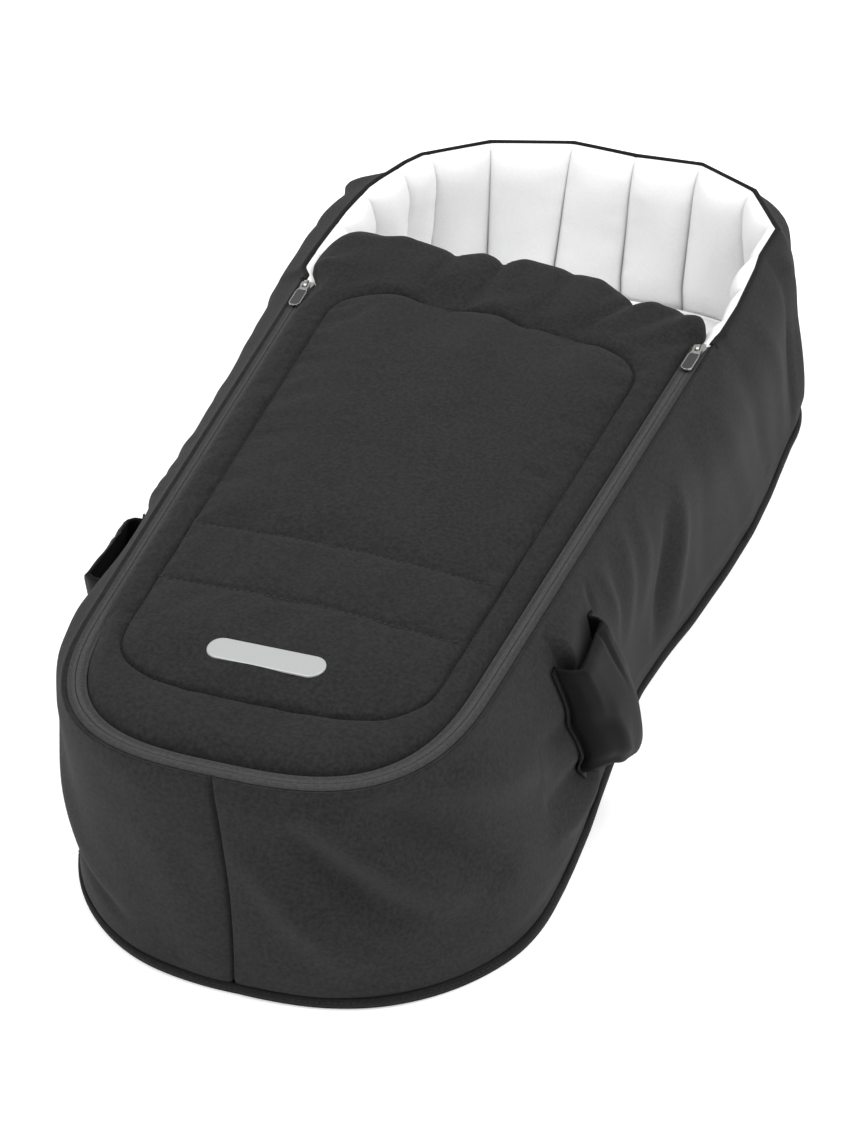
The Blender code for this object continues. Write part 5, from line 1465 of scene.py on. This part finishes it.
badge_profile = ((0.0, 0.0), (0.0, 0.0007), (0.0003, 0.0010), (0.0010, 0.0011), (0.0030, 0.0011),
                 (0.0055, 0.0011), (0.0084, 0.0011))
badge_rows = [on_apron(pill(inset), above) for inset, above in badge_profile]
badge_points = np.vstack(badge_rows)
badge_index = np.arange(len(badge_points)).reshape(len(badge_rows), -1)
badge_faces = [*np.concatenate(ring_faces(badge_index)), badge_index[0, ::-1], badge_index[-1]]
badge = show("badge_pill", badge_points, badge_faces, SILVER, sharp=50)
point_out(badge)
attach(badge, "apron")
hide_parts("badge")

# Sleeves: a padded loop of black nylon on each side wall, open above and below for the pushchair's
# frame. Its two upright edges are sewn to the wall under folded hems.
SLEEVE_TOP = 0.1445
SLEEVE_BOTTOM = 0.0545
SLEEVE_NEAR = (-0.2160, 0.0230)
# By side: where the far edge starts at the top, how far it moves toward the head below, and how far
# the loop stands out from the wall: near and far at the top, near and far below
SLEEVE_FAR = {"right": (-0.1615, 0.0110), "left": (-0.1500, 0.0060)}
SLEEVE_REACH = {"right": (0.0160, 0.0097, 0.0232, 0.0232), "left": (0.0140, 0.0085, 0.0192, 0.0182)}
SLEEVE_LIFT = (0.0105, -0.0055)
SLEEVE_BELLY = {"right": 0.0060, "left": 0.0015}
SLEEVE_PAD = 0.0040
HEM_WIDTH = 0.0062
HEM_CLOTH = 0.0014
HEM_TUCK = 0.15
HEM_GAP = 0.0005
HEM_LIFT = 0.0010
GUSSET_SHARE = 0.10
SHOULDER_SHARE = 0.30
LOOP_GAP = 0.0006
LOOP_SOFTNESS = 0.0018
LOOP_CREASE = 0.0022
LOOP_CROWN = 0.0014
LOOP_DROOP = 0.0035
BLACK_NYLON = woven("black nylon", (0.0016, 0.0016, 0.0018), (0.0042, 0.0042, 0.0045), 0.0005, 0.00006, 0.62,
                    0.015)
sleeve_heights = np.linspace(SLEEVE_BOTTOM, SLEEVE_TOP, 34)
sleeve_shares = np.concatenate([np.linspace(0, 0.10, 9), np.linspace(0.14, 0.86, 20),
                                np.linspace(0.90, 1, 9)])


def side_of_wall(height, side):
    """The wall's outer face on one side at a height, as y and x."""
    ring = wall_ring(height, outer_offset(height))
    face = ring[(ring[:, 0] * side > 0.08) & (np.abs(ring[:, 1] + 0.18) < 0.12)]
    order = np.argsort(face[:, 1])
    return face[order, 1], face[order, 0] * side


loop_edge = np.minimum(sleeve_shares, 1 - sleeve_shares)
gusset = np.clip(loop_edge / GUSSET_SHARE, 0, 1)
flat_part = np.clip((loop_edge - GUSSET_SHARE) / 0.05, 0, 1)
corner = np.sin(np.pi / 2 * gusset)
to_middle = np.sign(1 - 2 * sleeve_shares)
hem_steps = np.linspace(-HEM_TUCK, 1, 9)
hem_round = np.sqrt(np.maximum(0, 1 - (2 * (hem_steps + HEM_TUCK) / (1 + HEM_TUCK) - 1) ** 8))


def loop_rows(hand, side, height, rise, ends, wall_line):
    """The loop's outer and inner faces at one height. Rise is 0 at its lower mouth and 1 at its upper one."""
    top_near, top_far, low_near, low_far = SLEEVE_REACH[hand]
    reach = mix(mix(low_near, low_far, sleeve_shares), mix(top_near, top_far, sleeve_shares), rise)
    reach = reach + SLEEVE_BELLY[hand] * sleeve_shares * math.sin(math.pi * min(1.0, 1.15 * rise))
    out = mix(round_up(loop_edge, SHOULDER_SHARE), gusset, rise**2)
    y = mix(*ends, np.clip((sleeve_shares - 0.06) / 0.88, 0, 1))
    soft = LOOP_SOFTNESS * soft_noise(sleeve_shares * 3.0, rise * 3.0, side * 4.0) * flat_part
    in_crease = bell(sleeve_shares - 0.55 - 0.16 * rise, 0.035) * flat_part
    crease = -LOOP_CREASE * in_crease * ease((rise - 0.55) / 0.3)
    crown = LOOP_CROWN * np.sin(np.pi * sleeve_shares) * math.sin(math.pi * rise)
    wall = np.interp(y, *wall_line) + LOOP_GAP
    puff = SLEEVE_PAD * (0.30 + 0.70 * math.sqrt(max(0.0, 1 - abs(2 * rise - 1) ** 10)))
    lift = mix(*SLEEVE_LIFT, sleeve_shares) * (1 - rise) ** 1.5
    lift = lift + LOOP_DROOP * np.abs(2 * sleeve_shares - 1) ** 6 * (1 - rise) ** 3
    level = height + lift * corner
    outer_x = side * (wall + (reach + soft + crease + crown) * out + puff * corner)
    outer_y = y - to_middle * puff * np.cos(np.pi / 2 * gusset * 0.999) * 0.6
    inner_x = side * (wall + np.maximum(0, reach - LOOP_GAP) * out)
    inner_y = y + to_middle * 0.0004
    return np.column_stack([outer_x, outer_y, level]), np.column_stack([inner_x, inner_y, level])


def hem_rows(side, height, edge_y, way, wall_line):
    """A hem's outer and inner faces at one height."""
    wave = 0.0003 * math.sin(height * 210 + way) + 0.0002 * math.sin(height * 610)
    y = edge_y + way * HEM_WIDTH * hem_steps
    stand = HEM_LIFT * np.maximum(0, hem_steps) * (1 + wave / 0.0006 * 0.4)
    under = np.interp(y, *wall_line) + HEM_GAP + stand
    over = under + HEM_CLOTH * (0.35 + 0.65 * hem_round)
    level = np.full(len(y), height)
    return [np.column_stack([side * x, y + way * wave * 0.6, level]) for x in (over, under)]


for hand, side in (("right", 1), ("left", -1)):
    rows = {"loop": [], "near": [], "far": []}
    for height in sleeve_heights:
        rise = (height - SLEEVE_BOTTOM) / (SLEEVE_TOP - SLEEVE_BOTTOM)
        wall_line = side_of_wall(height, side)
        near_y, far_y = (start + move * (1 - rise) for start, move in (SLEEVE_NEAR, SLEEVE_FAR[hand]))
        rows["loop"].append(loop_rows(hand, side, height, rise, (near_y, far_y), wall_line))
        rows["near"].append(hem_rows(side, height, near_y, -1, wall_line))
        rows["far"].append(hem_rows(side, height, far_y, 1, wall_line))
    sleeve_uv = np.stack(np.meshgrid(sleeve_shares * 0.1, sleeve_heights), axis=2)
    sleeve = layered_piece(f"sleeve_{hand}", *map(np.array, zip(*rows["loop"])), BLACK_NYLON, uv=sleeve_uv)
    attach(sleeve, "cot")
    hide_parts(f"sleeve_pad_{hand}")
    hem_uv = np.stack(np.meshgrid(np.linspace(0, HEM_WIDTH, 9), sleeve_heights), axis=2)
    for end in ("near", "far"):
        hem = layered_piece(f"sleeve_hem_{end}_{hand}", *map(np.array, zip(*rows[end])), BLACK_NYLON,
                            uv=hem_uv)
        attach(hem, "cot")
        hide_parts(f"sleeve_binding_{end}_{hand}")
